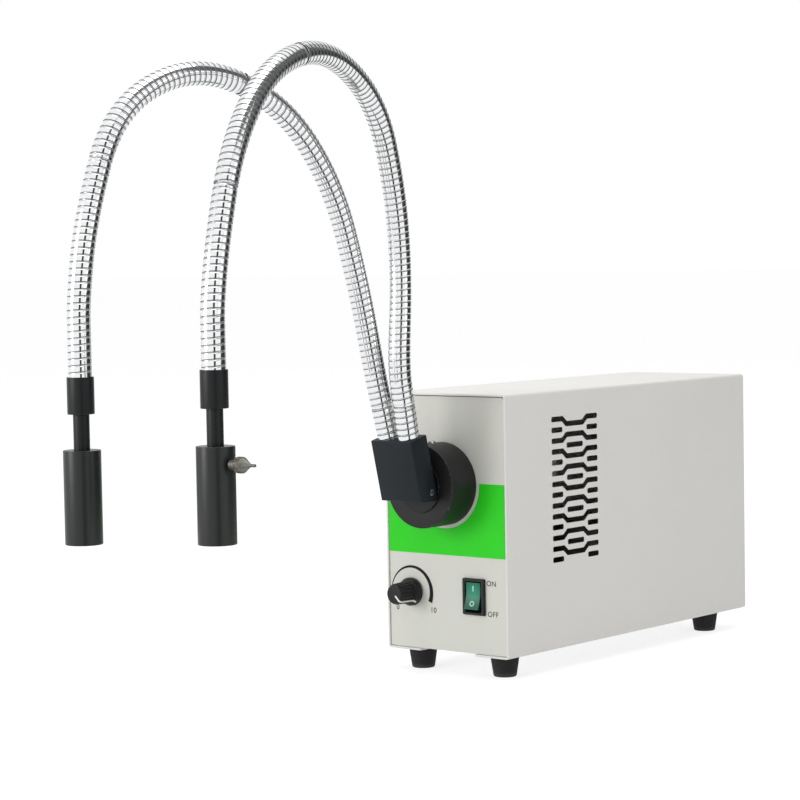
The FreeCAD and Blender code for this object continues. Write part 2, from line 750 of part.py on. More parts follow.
def knee_direction(side, index):
    """Direction of the hose at a knee, away from the block."""
    route = arm_route(side)
    run = knee_runs(side)[index]
    return (route[run + 1] - route[run]).normalize()


def arm_across(side):
    """Direction across an arm's plane, to the right of someone facing the panel."""
    splay = math.radians(ARM_SPLAY)
    return vec(math.cos(splay), SIDES[side] * math.sin(splay), 0)


def bend_points(before, corner, after):
    """Corners of the mitred bend that follows the arc between two runs of a route."""
    run_in, run_out = corner - before, after - corner
    turn = run_in.getAngle(run_out)
    if turn < math.radians(0.5):
        return []
    reach = RUN_SHARE * min(run_in.Length, run_out.Length)
    radius = reach / math.tan(turn / 2)
    steps = math.ceil(math.degrees(turn) / MAX_MITRE)
    start = corner - run_in.normalize() * reach
    side_axis = run_in.cross(run_out).normalize()
    centre = start + side_axis.cross(run_in) * radius
    spoke = start - centre
    step = turn / steps
    points = []
    for index in range(steps):
        angle = math.degrees((index + 0.5) * step)
        points.append(centre + FreeCAD.Rotation(side_axis, angle).multVec(spoke) * (1 / math.cos(step / 2)))
    return points


def hose_line(side, first_run, last_run):
    """Corners of the hose between two runs of its route, without its own ends."""
    route = arm_route(side)
    line = []
    for index in range(first_run + 1, last_run + 1):
        line += bend_points(route[index - 1], route[index], route[index + 1])
    return line


def hose_length(side):
    """Length of one arm's hose along its route."""
    route = arm_route(side)
    line = [route[0]] + hose_line(side, 0, len(route) - 2) + [route[-1]]
    return sum((b - a).Length for a, b in zip(line, line[1:]))


# ---------------------------------------------------------------- gooseneck hoses


def hose_ring(side, centre, direction, radius):
    """Corners of a round section of an arm's hose."""
    across = arm_across(side)
    upright = direction.cross(across)
    angles = [2 * math.pi * (k + 0.5) / HOSE_SIDES for k in range(HOSE_SIDES)]
    return [centre + across * (radius * math.cos(a)) + upright * (radius * math.sin(a)) for a in angles]


def mitre_rings(side, points):
    """Sections of a hose along straight runs: square at both ends, mitred in between."""
    runs = [(b - a).normalize() for a, b in zip(points, points[1:])]
    rings = [hose_ring(side, points[0], runs[0], HOSE_RADIUS)]
    for corner, before, after in zip(points[1:], runs, runs[1:] + runs[-1:]):
        normal = before + after
        rings.append([q + before * ((corner - q).dot(normal) / before.dot(normal)) for q in rings[-1]])
    return rings


def knee_ball(side, centre, direction):
    """Sections of the rounded end that a span turns on, from its flat towards the hose."""
    step = math.radians(KNEE_STEP)
    return [
        hose_ring(side, centre - direction * (HOSE_RADIUS * math.sin(k * step)), direction,
                  HOSE_RADIUS * math.cos(k * step))
        for k in (2, 1)
    ]


def knee_cup(side, centre, direction):
    """Sections of the hollow end that holds the next span's ball with its gap, from its rim inwards."""
    step = math.radians(KNEE_STEP)
    depth = HOSE_RADIUS + KNEE_GAP
    reach = over_flats(depth / math.cos(step / 2), HOSE_SIDES)
    narrowing = (reach - HOSE_RADIUS) / (1 - math.cos(step))
    sections = [
        (HOSE_RADIUS, narrowing * math.sin(step)), (reach * math.cos(step), reach * math.sin(step)),
        (reach * math.cos(2 * step), reach * math.sin(2 * step)), (reach * math.cos(2.5 * step), depth),
    ]
    return [hose_ring(side, centre - direction * back, direction, radius) for radius, back in sections]


def make_hose_span(side, span):
    """One span of a gooseneck hose: 0 is fixed in the block, 3 ends in the ferrule."""
    knees = knee_runs(side)
    route = arm_route(side)
    if span == 0:
        points = [socket_end(side), knee_centre(side, 0)]
    elif span == len(knees):
        end = route[-1] + DOWN * FERRULE_GRIP
        points = [knee_centre(side, span - 1)] + hose_line(side, knees[-1], len(route) - 2) + [end]
    else:
        bends = hose_line(side, knees[span - 1], knees[span])
        points = [knee_centre(side, span - 1)] + bends + [knee_centre(side, span)]
    rings = mitre_rings(side, points)
    if span > 0:
        rings = knee_ball(side, points[0], knee_direction(side, span - 1)) + rings
    if span < len(knees):
        rings = rings[:-1] + knee_cup(side, points[-1], knee_direction(side, span))
    return skin(rings, True)


# ---------------------------------------------------------------- guide block


def block_outline():
    """Side outline of the dividing block, as (y, z)."""
    return [
        (BLOCK_REAR_Y, BLOCK_UNDER), (BLOCK_FRONT_Y, BLOCK_UNDER), BLOCK_FRONT_TOP, BLOCK_REAR_TOP,
    ]


def socket_end(side):
    """Centre of the bottom of a hose's socket in the block."""
    route = arm_route(side)
    return route[0] - (route[1] - route[0]).normalize() * SOCKET_DEPTH


def branch_end(side):
    """End of a branch of the bundle, far enough back to stand clear of the tilted hose end."""
    split = vec(PORT_X, (BLOCK_FRONT_Y + BLOCK_REAR_Y) / 2, PORT_HEIGHT)
    run = socket_end(side) - split
    return split + run * (1 - BRANCH_BACK / run.Length)


def bundle_shape(extra):
    """The plug's fibre trunk and its two branches, thicker by an amount all round."""
    split = vec(PORT_X, (BLOCK_FRONT_Y + BLOCK_REAR_Y) / 2, PORT_HEIGHT)
    trunk = bar(TRUNK_RADIUS + extra, port_point(-PLUG_TAIL), split - Y_AXIS * TRUNK_RADIUS, ROUND_SIDES)
    branches = [bar(BRANCH_RADIUS + extra, split, branch_end(side), HOSE_SIDES) for side in SIDES]
    return trunk.fuse(branches)


def make_guide_block():
    """Leaning block that joins the plug to both hoses."""
    left = PORT_X - BLOCK_WIDTH / 2
    block = prism([vec(left, y, z) for y, z in block_outline()], vec(BLOCK_WIDTH, 0, 0))
    block = block.makeChamfer(BLOCK_CHAMFER, block.Edges)
    cutters = [bundle_shape(PASSAGE_CLEARANCE), rod(PLUG_RADIUS, port_point(0), plug_end())]
    for side in SIDES:
        bottom = socket_end(side)
        root = (arm_route(side)[1] - bottom).normalize()
        cutters.append(skin(mitre_rings(side, [bottom, bottom + root * 2 * SOCKET_DEPTH]), True))
        cutters.append(bar(BLOCK_SCREW_RADIUS, *block_screw_ends(side), SMALL_SIDES))
    return block.cut(cutters)


def block_screw_ends(side):
    """Outer and inner end of the set screw in one side of the block."""
    y = BLOCK_REAR_Y - BLOCK_THICKNESS / 3
    z = PORT_HEIGHT - BLOCK_SCREW_BELOW_PORT
    outer = vec(PORT_X + SIDES[side] * BLOCK_WIDTH / 2, y, z)
    return outer, outer - X_AXIS * SIDES[side] * BLOCK_SCREW_LENGTH


def make_block_screws():
    """Set screws that hold the plug in the block."""
    screws = [bar(BLOCK_SCREW_RADIUS, *block_screw_ends(side), SMALL_SIDES) for side in SIDES]
    return Part.makeCompound(screws)


def plug_end():
    """The plug's end inside the block."""
    return vec(PORT_X, (BLOCK_FRONT_Y + BLOCK_REAR_Y) / 2, PORT_HEIGHT)


def make_guide_plug():
    """Hollow plug that holds the polished end of the fibre bundle."""
    tube = rod(PLUG_RADIUS, port_point(-PLUG_TAIL), plug_end())
    bore = bar(PLUG_BORE, port_point(-PLUG_TAIL - CUT_MARGIN), plug_end() + FORWARD, ROUND_SIDES)
    return tube.cut([bore, bundle_shape(PASSAGE_CLEARANCE)])


# ---------------------------------------------------------------- arm ends


def tip_top(side):
    """Centre of the top of an arm's end ferrule."""
    return arm_route(side)[-1]


def barrel_top(side):
    """Centre of the top of a lens barrel."""
    return tip_top(side) + DOWN * (FERRULE_LENGTH + STEM_SHOWN)


def make_end_ferrule(side):
    """Sleeve crimped over the end of a hose, with the stem's bore in its lower end."""
    grip = FERRULE_GRIP
    stem_top = FERRULE_LENGTH - STEM_IN_FERRULE
    socket = over_flats(HOSE_RADIUS, ROUND_SIDES)
    outline = [
        (socket, 0), (FERRULE_RADIUS, 0), (FERRULE_RADIUS, FERRULE_LENGTH), (STEM_RADIUS, FERRULE_LENGTH),
        (STEM_RADIUS, stem_top), (STEM_BORE, stem_top), (STEM_BORE, grip), (socket, grip),
    ]
    return faceted(outline, tip_top(side), DOWN, ROUND_SIDES)


def make_end_stem(side):
    """Rigid tube that carries the end of the fibres and that the barrel slides on."""
    start = FERRULE_LENGTH - STEM_IN_FERRULE
    end = FERRULE_LENGTH + STEM_SHOWN + STEM_IN_BARREL
    outline = [(STEM_BORE, start), (STEM_RADIUS, start), (STEM_RADIUS, end), (STEM_BORE, end)]
    return faceted(outline, tip_top(side), DOWN, ROUND_SIDES)


def make_fibre_tip(side):
    """The last stretch of the fibre bundle, with its polished face in the barrel."""
    top = tip_top(side)
    end = FERRULE_LENGTH + STEM_SHOWN + STEM_IN_BARREL
    return bar(STEM_BORE, top + DOWN * FERRULE_GRIP, top + DOWN * end, ROUND_SIDES)


def thumb_axis(side):
    """Outward direction of a barrel's thumbscrew."""
    heading = math.radians(THUMB_HEADINGS[side])
    return vec(math.cos(heading), math.sin(heading), 0)


def make_lens_barrel(side):
    """Lens barrel: a guide bore for the stem, a hollow body and a seat for the lens."""
    bore = over_flats(STEM_RADIUS + RUNNING_CLEARANCE, BARREL_SIDES)
    shoulder = LENS_RADIUS - LENS_LEDGE
    outline = [
        (bore, 0), (BARREL_RADIUS, 0), (BARREL_RADIUS, BARREL_LENGTH), (LENS_RADIUS, BARREL_LENGTH),
        (LENS_RADIUS, LENS_SEAT_DEPTH), (shoulder, LENS_SEAT_DEPTH), (shoulder, BARREL_GUIDE_LENGTH),
        (bore, BARREL_GUIDE_LENGTH),
    ]
    top = barrel_top(side)
    start = top + DOWN * THUMB_DROP
    tapped = rod(THUMB_SHANK_RADIUS + RUNNING_CLEARANCE, start, start + thumb_axis(side) * 2 * BARREL_RADIUS)
    return faceted(outline, top, DOWN, BARREL_SIDES).cut(tapped)


def make_lens(side):
    """Condenser lens: a flat back, a rim and a domed front."""
    rim_end = LENS_SEAT_DEPTH + LENS_RIM
    outline = [
        (0, LENS_SEAT_DEPTH),
        (LENS_RADIUS, LENS_SEAT_DEPTH),
        (LENS_RADIUS, rim_end),
        (LENS_DOME_RADIUS, rim_end),
        (LENS_DOME_RADIUS / 2, rim_end + LENS_DOME),
        (0, rim_end + LENS_DOME),
    ]
    return faceted(outline, barrel_top(side), DOWN, BARREL_SIDES)


def make_lens_ring(side):
    """Threaded ring that holds the lens on its seat."""
    start = LENS_SEAT_DEPTH + LENS_RIM
    outline = [
        (LENS_DOME_RADIUS, start), (LENS_RADIUS, start),
        (LENS_RADIUS, start + RING_LENGTH), (LENS_DOME_RADIUS, start + RING_LENGTH),
    ]
    return faceted(outline, barrel_top(side), DOWN, BARREL_SIDES)


def make_thumbscrew(side):
    """Knurled screw with a tapered end and a small tip, which clamps a barrel on its stem."""
    neck_start = BARREL_RADIUS + BODY_GAP
    head_start = neck_start + THUMB_NECK_LENGTH
    head_end = head_start + THUMB_HEAD_LENGTH
    rim = THUMB_HEAD_RADIUS - THUMB_HEAD_CHAMFER
    cone_end = head_end + THUMB_CONE_LENGTH
    head = [
        (0, head_start), (rim, head_start), (THUMB_HEAD_RADIUS, head_start + THUMB_HEAD_CHAMFER),
        (THUMB_HEAD_RADIUS, head_end), (THUMB_PIN_RADIUS, cone_end),
        (THUMB_PIN_RADIUS, cone_end + THUMB_PIN_LENGTH), (0, cone_end + THUMB_PIN_LENGTH),
    ]
    centre = barrel_top(side) + DOWN * THUMB_DROP
    axis = thumb_axis(side)
    shank = rod(THUMB_SHANK_RADIUS, centre + axis * (STEM_RADIUS + BODY_GAP), centre + axis * head_start)
    neck = bar(THUMB_NECK_RADIUS, centre + axis * neck_start, centre + axis * head_start, ROUND_SIDES)
    return faceted(head, centre, axis, THUMB_SIDES).fuse([shank, neck])


# ---------------------------------------------------------------- controls


def knob_point(forward):
    """A point on the knob's axis, a distance in front of the panel's face."""
    return vec(KNOB_X, PANEL_FACE - forward, KNOB_HEIGHT)


def make_knob():
    """Skirted knob, hollow behind for the potentiometer's nut, with a blind bore for its shaft."""
    skirt_end = KNOB_GAP + KNOB_SKIRT
    body_start = skirt_end + KNOB_SHOULDER
    body_end = body_start + KNOB_BODY
    hollow = KNOB_SKIRT_RADIUS - KNOB_WALL
    outline = [
        (0, skirt_end), (hollow, skirt_end), (hollow, KNOB_GAP), (KNOB_SKIRT_RADIUS, KNOB_GAP),
        (KNOB_SKIRT_RADIUS, skirt_end), (KNOB_BODY_RADIUS, body_start), (KNOB_TIP_RADIUS, body_end),
        (KNOB_TIP_RADIUS - KNOB_CHAMFER, body_end + KNOB_CHAMFER), (0, body_end + KNOB_CHAMFER),
    ]
    bore = rod(SHAFT_RADIUS, knob_point(skirt_end - CUT_MARGIN), knob_point(body_end - KNOB_CAP))
    return faceted(outline, knob_point(0), FORWARD, KNOB_SIDES).cut(bore)


def make_pot_shaft():
    """Potentiometer shaft, from inside its body to inside the knob."""
    knob_end = KNOB_GAP + KNOB_SKIRT + KNOB_SHOULDER + KNOB_BODY - KNOB_CAP
    return rod(SHAFT_RADIUS, knob_point(-PANEL_SHEET - POT_DEPTH / 2), knob_point(knob_end))


def make_potentiometer():
    """Potentiometer body and bushing, bored for the shaft."""
    body_end = -PANEL_SHEET - POT_DEPTH
    outline = [
        (0, body_end), (POT_RADIUS, body_end), (POT_RADIUS, -PANEL_SHEET), (BUSHING_RADIUS, -PANEL_SHEET),
        (BUSHING_RADIUS, BUSHING_PROUD), (0, BUSHING_PROUD),
    ]
    ends = knob_point(body_end + POT_DEPTH / 2 - BODY_GAP), knob_point(BUSHING_PROUD + CUT_MARGIN)
    bore = rod(SHAFT_RADIUS + RUNNING_CLEARANCE, *ends)
    return faceted(outline, knob_point(0), FORWARD, KNOB_SIDES).cut(bore)


def make_pot_nut():
    """Hexagon nut that holds the potentiometer in the panel."""
    nut = hexagon(POT_NUT_FLATS, knob_point(0), FORWARD * POT_NUT_HEIGHT)
    ends = knob_point(-CUT_MARGIN), knob_point(BUSHING_PROUD + CUT_MARGIN)
    return nut.cut(bar(BUSHING_RADIUS, *ends, KNOB_SIDES))


def rocker_pivot():
    """Centre of the rocker's pivot."""
    return vec(SWITCH_X, PANEL_FACE + ROCKER_PIVOT_DEPTH, SWITCH_HEIGHT)


def make_switch_housing():
    """Snap-in switch housing: bezel, body with the rocker's pocket and three terminals."""
    bezel = rounded_box(
        around(SWITCH_X, BEZEL_WIDTH),
        (PANEL_FACE - BEZEL_PROUD, PANEL_FACE),
        around(SWITCH_HEIGHT, BEZEL_HEIGHT),
        BEZEL_CORNER,
        Y_AXIS,
    )
    body_end = PANEL_FACE + SWITCH_BODY_DEPTH
    body = box(
        around(SWITCH_X, SWITCH_BODY_WIDTH),
        (PANEL_FACE, body_end),
        around(SWITCH_HEIGHT, SWITCH_BODY_HEIGHT),
    )
    terminals = [
        box(
            around(SWITCH_X, TERMINAL_WIDTH),
            (body_end, body_end + TERMINAL_LENGTH),
            around(SWITCH_HEIGHT + row * TERMINAL_PITCH, TERMINAL_SHEET),
        )
        for row in (-1, 0, 1)
    ]
    pocket = box(
        around(SWITCH_X, POCKET_WIDTH),
        (PANEL_FACE - BEZEL_PROUD - CUT_MARGIN, PANEL_FACE + POCKET_DEPTH),
        around(SWITCH_HEIGHT, POCKET_HEIGHT),
    )
    reach = SWITCH_BODY_WIDTH / 2 - TERMINAL_SHEET / 2
    pivot = rocker_pivot()
    bore = rod(ROCKER_PIN_RADIUS + RUNNING_CLEARANCE, pivot - X_AXIS * reach, pivot + X_AXIS * reach)
    return bezel.fuse([body] + terminals).cut([pocket, bore])


def make_switch_rocker():
    """Lit rocker, stored pressed at its top, with pivot pins in the housing's walls."""
    side = [
        (-ROCKER_TIP, ROCKER_HALF_HEIGHT), (-ROCKER_VALLEY, 0), (-ROCKER_TIP, -ROCKER_HALF_HEIGHT),
        (0, -ROCKER_HALF_HEIGHT), (ROCKER_BACK, -ROCKER_BACK_HALF_HEIGHT),
        (ROCKER_BACK, ROCKER_BACK_HALF_HEIGHT), (0, ROCKER_HALF_HEIGHT),
    ]
    half = POCKET_WIDTH / 2 - ROCKER_SIDE_GAP
    outline = [vec(SWITCH_X - half, PANEL_FACE + y, SWITCH_HEIGHT + z) for y, z in side]
    pivot = rocker_pivot()
    pin_reach = POCKET_WIDTH / 2 + (SWITCH_BODY_WIDTH - POCKET_WIDTH) / 4
    pins = rod(ROCKER_PIN_RADIUS, pivot - X_AXIS * pin_reach, pivot + X_AXIS * pin_reach)
    rocker = prism(outline, vec(2 * half, 0, 0)).fuse(pins)
    rocker.rotate(pivot, X_AXIS, -ROCKER_TILT)
    return rocker


# ---------------------------------------------------------------- lamp


def make_lamp_bracket():
    """Upright plate with the lamp's aperture and a foot on the chassis."""
    plate = box(around(0, BRACKET_WIDTH), (BRACKET_Y, BRACKET_Y + BRACKET_SHEET), (FLOOR_TOP, BRACKET_TOP))
    foot = box(
        around(0, BRACKET_WIDTH),
        (BRACKET_Y, BRACKET_Y + BRACKET_FOOT),
        (FLOOR_TOP, FLOOR_TOP + BRACKET_SHEET),
    )
    aperture = bar(
        BRACKET_APERTURE_RADIUS,
        vec(PORT_X, BRACKET_Y - CUT_MARGIN, PORT_HEIGHT),
        vec(PORT_X, BRACKET_Y + BRACKET_SHEET + CUT_MARGIN, PORT_HEIGHT),
        ROUND_SIDES,
    )
    return fused([plate, foot]).cut(aperture)


def make_heat_filter():
    """Heat absorbing glass on the bracket, in front of the lamp."""
    front = vec(PORT_X, BRACKET_Y - FILTER_THICKNESS, PORT_HEIGHT)
    return bar(FILTER_RADIUS, front, front + Y_AXIS * FILTER_THICKNESS, ROUND_SIDES)


def make_lamp():
    """Halogen reflector lamp: rim, faceted reflector bowl and ceramic base."""
    neck = LAMP_RIM + LAMP_DEPTH
    middle = (LAMP_RIM_RADIUS * 0.8, LAMP_RIM + LAMP_DEPTH * 0.42)
    outline = [
        (0, neck), (LAMP_NECK_RADIUS, neck), middle, (LAMP_RIM_RADIUS, LAMP_RIM), (LAMP_RIM_RADIUS, 0),
        (LAMP_RIM_RADIUS - LAMP_WALL, 0), (LAMP_RIM_RADIUS - LAMP_WALL, LAMP_RIM),
        (middle[0] - LAMP_WALL, middle[1]),
        (LAMP_NECK_RADIUS - LAMP_WALL, neck - LAMP_WALL),
        (0, neck - LAMP_WALL),
    ]
    bowl = faceted(outline, vec(PORT_X, BRACKET_Y + BRACKET_SHEET, PORT_HEIGHT), Y_AXIS, ROUND_SIDES)
    base_y = BRACKET_Y + BRACKET_SHEET + neck
    base = box(
        around(PORT_X, LAMP_BASE_WIDTH),
        (base_y, base_y + LAMP_BASE),
        around(PORT_HEIGHT, LAMP_BASE_HEIGHT),
    )
    return bowl.fuse(base)


def make_lamp_socket():
    """Ceramic socket pushed on the lamp's base."""
    start = BRACKET_Y + BRACKET_SHEET + LAMP_RIM + LAMP_DEPTH + LAMP_BASE
    return box(
        around(PORT_X, SOCKET_WIDTH),
        (start, start + SOCKET_LENGTH),
        around(PORT_HEIGHT, SOCKET_HEIGHT),
    )


# ---------------------------------------------------------------- power


def make_transformer_core():
    """Laminated core with two windows for the coil."""
    y_range = (CORE_Y, CORE_Y + CORE_STACK)
    core = box(around(0, CORE_WIDTH), y_range, (FLOOR_TOP, FLOOR_TOP + CORE_HEIGHT))
    windows = [
        box(around(x * (CORE_WIDTH / 2 - 1.5 * CORE_LIMB), CORE_LIMB),
            (CORE_Y - CUT_MARGIN, CORE_Y + CORE_STACK + CUT_MARGIN),
            (FLOOR_TOP + CORE_LIMB, FLOOR_TOP + CORE_HEIGHT - CORE_LIMB))
        for x in (-1, 1)
    ]
    return core.cut(windows)


def make_transformer_coil():
    """Coil round the core's centre limb."""
    centre_limb = CORE_WIDTH - 4 * CORE_LIMB
    outer_width = centre_limb + 2 * (CORE_LIMB - COIL_CLEARANCE)
    z_range = (FLOOR_TOP + CORE_LIMB + COIL_CLEARANCE, FLOOR_TOP + CORE_HEIGHT - CORE_LIMB - COIL_CLEARANCE)
    coil = rounded_box(
        around(0, outer_width),
        (CORE_Y - COIL_OVERHANG, CORE_Y + CORE_STACK + COIL_OVERHANG),
        z_range,
        COIL_CORNER_RADIUS,
        Z_AXIS,
    )
    limb = box(around(0, centre_limb), (CORE_Y, CORE_Y + CORE_STACK), (FLOOR_TOP, FLOOR_TOP + CORE_HEIGHT))
    return coil.cut(limb)


def make_dimmer_board():
    """Printed circuit board of the dimmer."""
    low = FLOOR_TOP + BOARD_STANDOFF
    return box(around(BOARD_X, BOARD_WIDTH), around(BOARD_Y, BOARD_LENGTH), (low, low + BOARD_THICKNESS))


def make_board_standoffs():
    """Four hexagon stand-offs under the board."""
    posts = []
    for x in (-1, 1):
        for y in (-1, 1):
            foot = vec(
                BOARD_X + x * (BOARD_WIDTH / 2 - STANDOFF_INSET),
                BOARD_Y + y * (BOARD_LENGTH / 2 - STANDOFF_INSET),
                FLOOR_TOP,
            )
            posts.append(hexagon(STANDOFF_FLATS, foot, Z_AXIS * BOARD_STANDOFF))
    return Part.makeCompound(posts)


def make_heat_sink():
    """Finned heat sink on the board."""
    low = FLOOR_TOP + BOARD_STANDOFF + BOARD_THICKNESS
    base = box(around(BOARD_X, SINK_WIDTH), around(BOARD_Y, SINK_LENGTH), (low, low + SINK_BASE))
    pitch = (SINK_WIDTH - SINK_FIN) / (SINK_FINS - 1)
    first = BOARD_X - SINK_WIDTH / 2
    fins = [
        box(
            (first + k * pitch, first + k * pitch + SINK_FIN),
            around(BOARD_Y, SINK_LENGTH),
            (low, low + SINK_HEIGHT),
        )
        for k in range(SINK_FINS)
    ]
    return fused([base] + fins)


# ---------------------------------------------------------------- fan


def fan_point(forward):
    """A point on the fan's axis, a distance in front of the rear panel's inside."""
    return vec(FAN_X, REAR_INNER - forward, FAN_HEIGHT)


def make_fan_frame():
    """Square fan frame with a bore, a motor base on spokes and a bearing tube."""
    frame = rounded_box(
        around(FAN_X, FAN_SIZE), (REAR_INNER - FAN_DEPTH, REAR_INNER), around(FAN_HEIGHT, FAN_SIZE),
        FAN_CORNER_RADIUS, Y_AXIS,
    )
    bore_radius = over_flats(FAN_BORE_RADIUS, KNOB_SIDES)
    bore_ends = fan_point(FAN_DEPTH + CUT_MARGIN), fan_point(-CUT_MARGIN)
    holes = [
        screw_hole(vec(x, REAR_INNER - FAN_DEPTH - CUT_MARGIN, z), vec(x, REAR_INNER + CUT_MARGIN, z))
        for x, z in REAR_SCREW_PLACES[:4]
    ]
    lug_radius = SCREW_RADIUS + SCREW_HOLE_CLEARANCE + FAN_SCREW_WALL
    lugs = [
        rod(lug_radius, vec(x, REAR_INNER - FAN_DEPTH, z), vec(x, REAR_INNER, z))
        for x, z in REAR_SCREW_PLACES[:4]
    ]
    frame = frame.fuse(lugs).removeSplitter().cut(bar(bore_radius, *bore_ends, KNOB_SIDES))
    base = bar(FAN_BASE_RADIUS, fan_point(FAN_DEPTH), fan_point(FAN_DEPTH - FAN_BASE), ROUND_SIDES)
    spokes = []
    for index in range(FAN_SPOKES):
        spoke = box(
            around(FAN_X, FAN_SPOKE_WIDTH),
            (REAR_INNER - FAN_DEPTH, REAR_INNER - FAN_DEPTH + FAN_BASE),
            (FAN_HEIGHT + FAN_BASE_RADIUS - CUT_MARGIN, FAN_HEIGHT + FAN_BORE_RADIUS + CUT_MARGIN / 2),
        )
        spoke.rotate(fan_point(0), Y_AXIS, index * 360 / FAN_SPOKES)
        spokes.append(spoke)
    bearing = bar(FAN_BEARING_RADIUS, fan_point(FAN_DEPTH - FAN_BASE), fan_point(FAN_DEPTH / 3), ROUND_SIDES)
    bore = rod(FAN_SHAFT_RADIUS + RUNNING_CLEARANCE, fan_point(FAN_DEPTH - FAN_BASE / 2), fan_point(0))
    return frame.cut(holes).fuse([base, bearing] + spokes).cut(bore)


def make_fan_rotor():
    """Rotor: a hub cup with its shaft and a ring of pitched blades."""
    base_side = FAN_DEPTH - FAN_BASE - 2 * BODY_GAP
    rear_side = 2 * BODY_GAP
    inner = FAN_HUB_RADIUS - FAN_HUB_WALL
    floor_side = rear_side + FAN_HUB_WALL
    outline = [
        (0, rear_side), (FAN_HUB_RADIUS, rear_side), (FAN_HUB_RADIUS, base_side), (inner, base_side),
        (inner, floor_side), (0, floor_side),
    ]
    hub = faceted(outline, fan_point(0), FORWARD, ROUND_SIDES)
    shaft = rod(FAN_SHAFT_RADIUS, fan_point(rear_side), fan_point(base_side))
    depth = base_side - rear_side
    middle = (base_side + rear_side) / 2
    rim = [
        (inner, rear_side),
        (FAN_BLADE_RADIUS, rear_side),
        (FAN_BLADE_RADIUS, base_side),
        (inner, base_side),
    ]
    envelope = faceted(rim, fan_point(0), FORWARD, ROUND_SIDES)
    blades = []
    for index in range(FAN_BLADES):
        blade = box(
            around(FAN_X, FAN_BLADE_SHEET),
            around(REAR_INNER - middle, 2 * depth),
            (FAN_HEIGHT + inner, FAN_HEIGHT + FAN_BLADE_RADIUS + CUT_MARGIN),
        )
        blade.rotate(fan_point(middle), Z_AXIS, FAN_BLADE_PITCH)
        blade.rotate(fan_point(0), Y_AXIS, index * 360 / FAN_BLADES)
        blades.append(blade.common(envelope))
    return hub.fuse([shaft] + blades)


# ---------------------------------------------------------------- mains inlet


def inlet_cavity():
    """The socket's cavity: a rectangle with two cut corners."""
    half_width = INLET_CAVITY_WIDTH / 2
    middle = INLET_HEIGHT - INLET_CAVITY_DROP
    low, high = middle - INLET_CAVITY_HEIGHT / 2, middle + INLET_CAVITY_HEIGHT / 2
    corner = INLET_CAVITY_CORNER
    outline = [
        (-half_width, low), (half_width, low), (half_width, high - corner), (half_width - corner, high),
        (corner - half_width, high), (-half_width, high - corner),
    ]
    face = REAR_FACE + INLET_FLANGE
    points = [vec(INLET_X + x, face + CUT_MARGIN, z) for x, z in outline]
    return prism(points, FORWARD * (INLET_CAVITY_DEPTH + CUT_MARGIN))


def drawer_space(extra):
    """The fuse drawer's outer box, larger by a clearance on its four long sides."""
    face = REAR_FACE + INLET_FLANGE
    return box(
        around(INLET_X, DRAWER_WIDTH + 2 * extra),
        (face - DRAWER_DEPTH - extra, face + CUT_MARGIN * (extra > 0)),
        around(INLET_HEIGHT + DRAWER_RISE, DRAWER_HEIGHT + 2 * extra),
    )


def pin_places():
    """Centres of the three inlet pins as (x, z)."""
    middle = INLET_HEIGHT - INLET_CAVITY_DROP
    return [
        (INLET_X - PIN_SPREAD / 2, middle - PIN_RISE / 2),
        (INLET_X, middle + PIN_RISE / 2),
        (INLET_X + PIN_SPREAD / 2, middle - PIN_RISE / 2),
    ]


def make_mains_inlet():
    """Snap-in inlet: flange, body, pin cavity and the fuse drawer's slot."""
    flange = rounded_box(
        around(INLET_X, INLET_FLANGE_WIDTH), (REAR_FACE, REAR_FACE + INLET_FLANGE),
        around(INLET_HEIGHT, INLET_FLANGE_HEIGHT), INLET_CORNER, Y_AXIS,
    )
    body = box(
        around(INLET_X, INLET_BODY_WIDTH), (REAR_FACE - INLET_BODY_DEPTH, REAR_FACE),
        around(INLET_HEIGHT, INLET_BODY_HEIGHT),
    )
    return flange.fuse(body).cut([inlet_cavity(), drawer_space(BODY_GAP)])


def make_inlet_pins():
    """Three flat pins standing on the floor of the inlet's cavity."""
    floor = REAR_FACE + INLET_FLANGE - INLET_CAVITY_DEPTH
    return Part.makeCompound(
        [
            box(around(x, PIN_WIDTH), (floor, floor + PIN_LENGTH), around(z, PIN_HEIGHT))
            for x, z in pin_places()
        ]
    )


def fuse_ends():
    """Both ends of the fuse in its drawer."""
    start = REAR_FACE + INLET_FLANGE - DRAWER_DEPTH + DRAWER_WALL
    z = INLET_HEIGHT + DRAWER_RISE - DRAWER_HEIGHT / 2 + DRAWER_WALL + FUSE_RADIUS
    return vec(INLET_X, start, z), vec(INLET_X, start + FUSE_LENGTH, z)


def make_fuse_drawer():
    """Fuse drawer: an open tray behind a face with a finger lip."""
    drawer = drawer_space(0)
    face = REAR_FACE + INLET_FLANGE
    start, end = fuse_ends()
    tray = box(
        around(INLET_X, DRAWER_WIDTH - 2 * DRAWER_WALL),
        (start.y, end.y),
        (start.z - FUSE_RADIUS, INLET_HEIGHT + DRAWER_RISE + DRAWER_HEIGHT),
    )
    low = INLET_HEIGHT + DRAWER_RISE + DRAWER_HEIGHT / 2 - DRAWER_WALL
    lip = box(around(INLET_X, DRAWER_WIDTH / 2), (face, face + DRAWER_LIP), (low, low + DRAWER_WALL))
    return drawer.cut(tray).fuse(lip)


def make_fuse():
    """Glass cartridge fuse."""
    return bar(FUSE_RADIUS, *fuse_ends(), SMALL_SIDES)


# ---------------------------------------------------------------- assembly


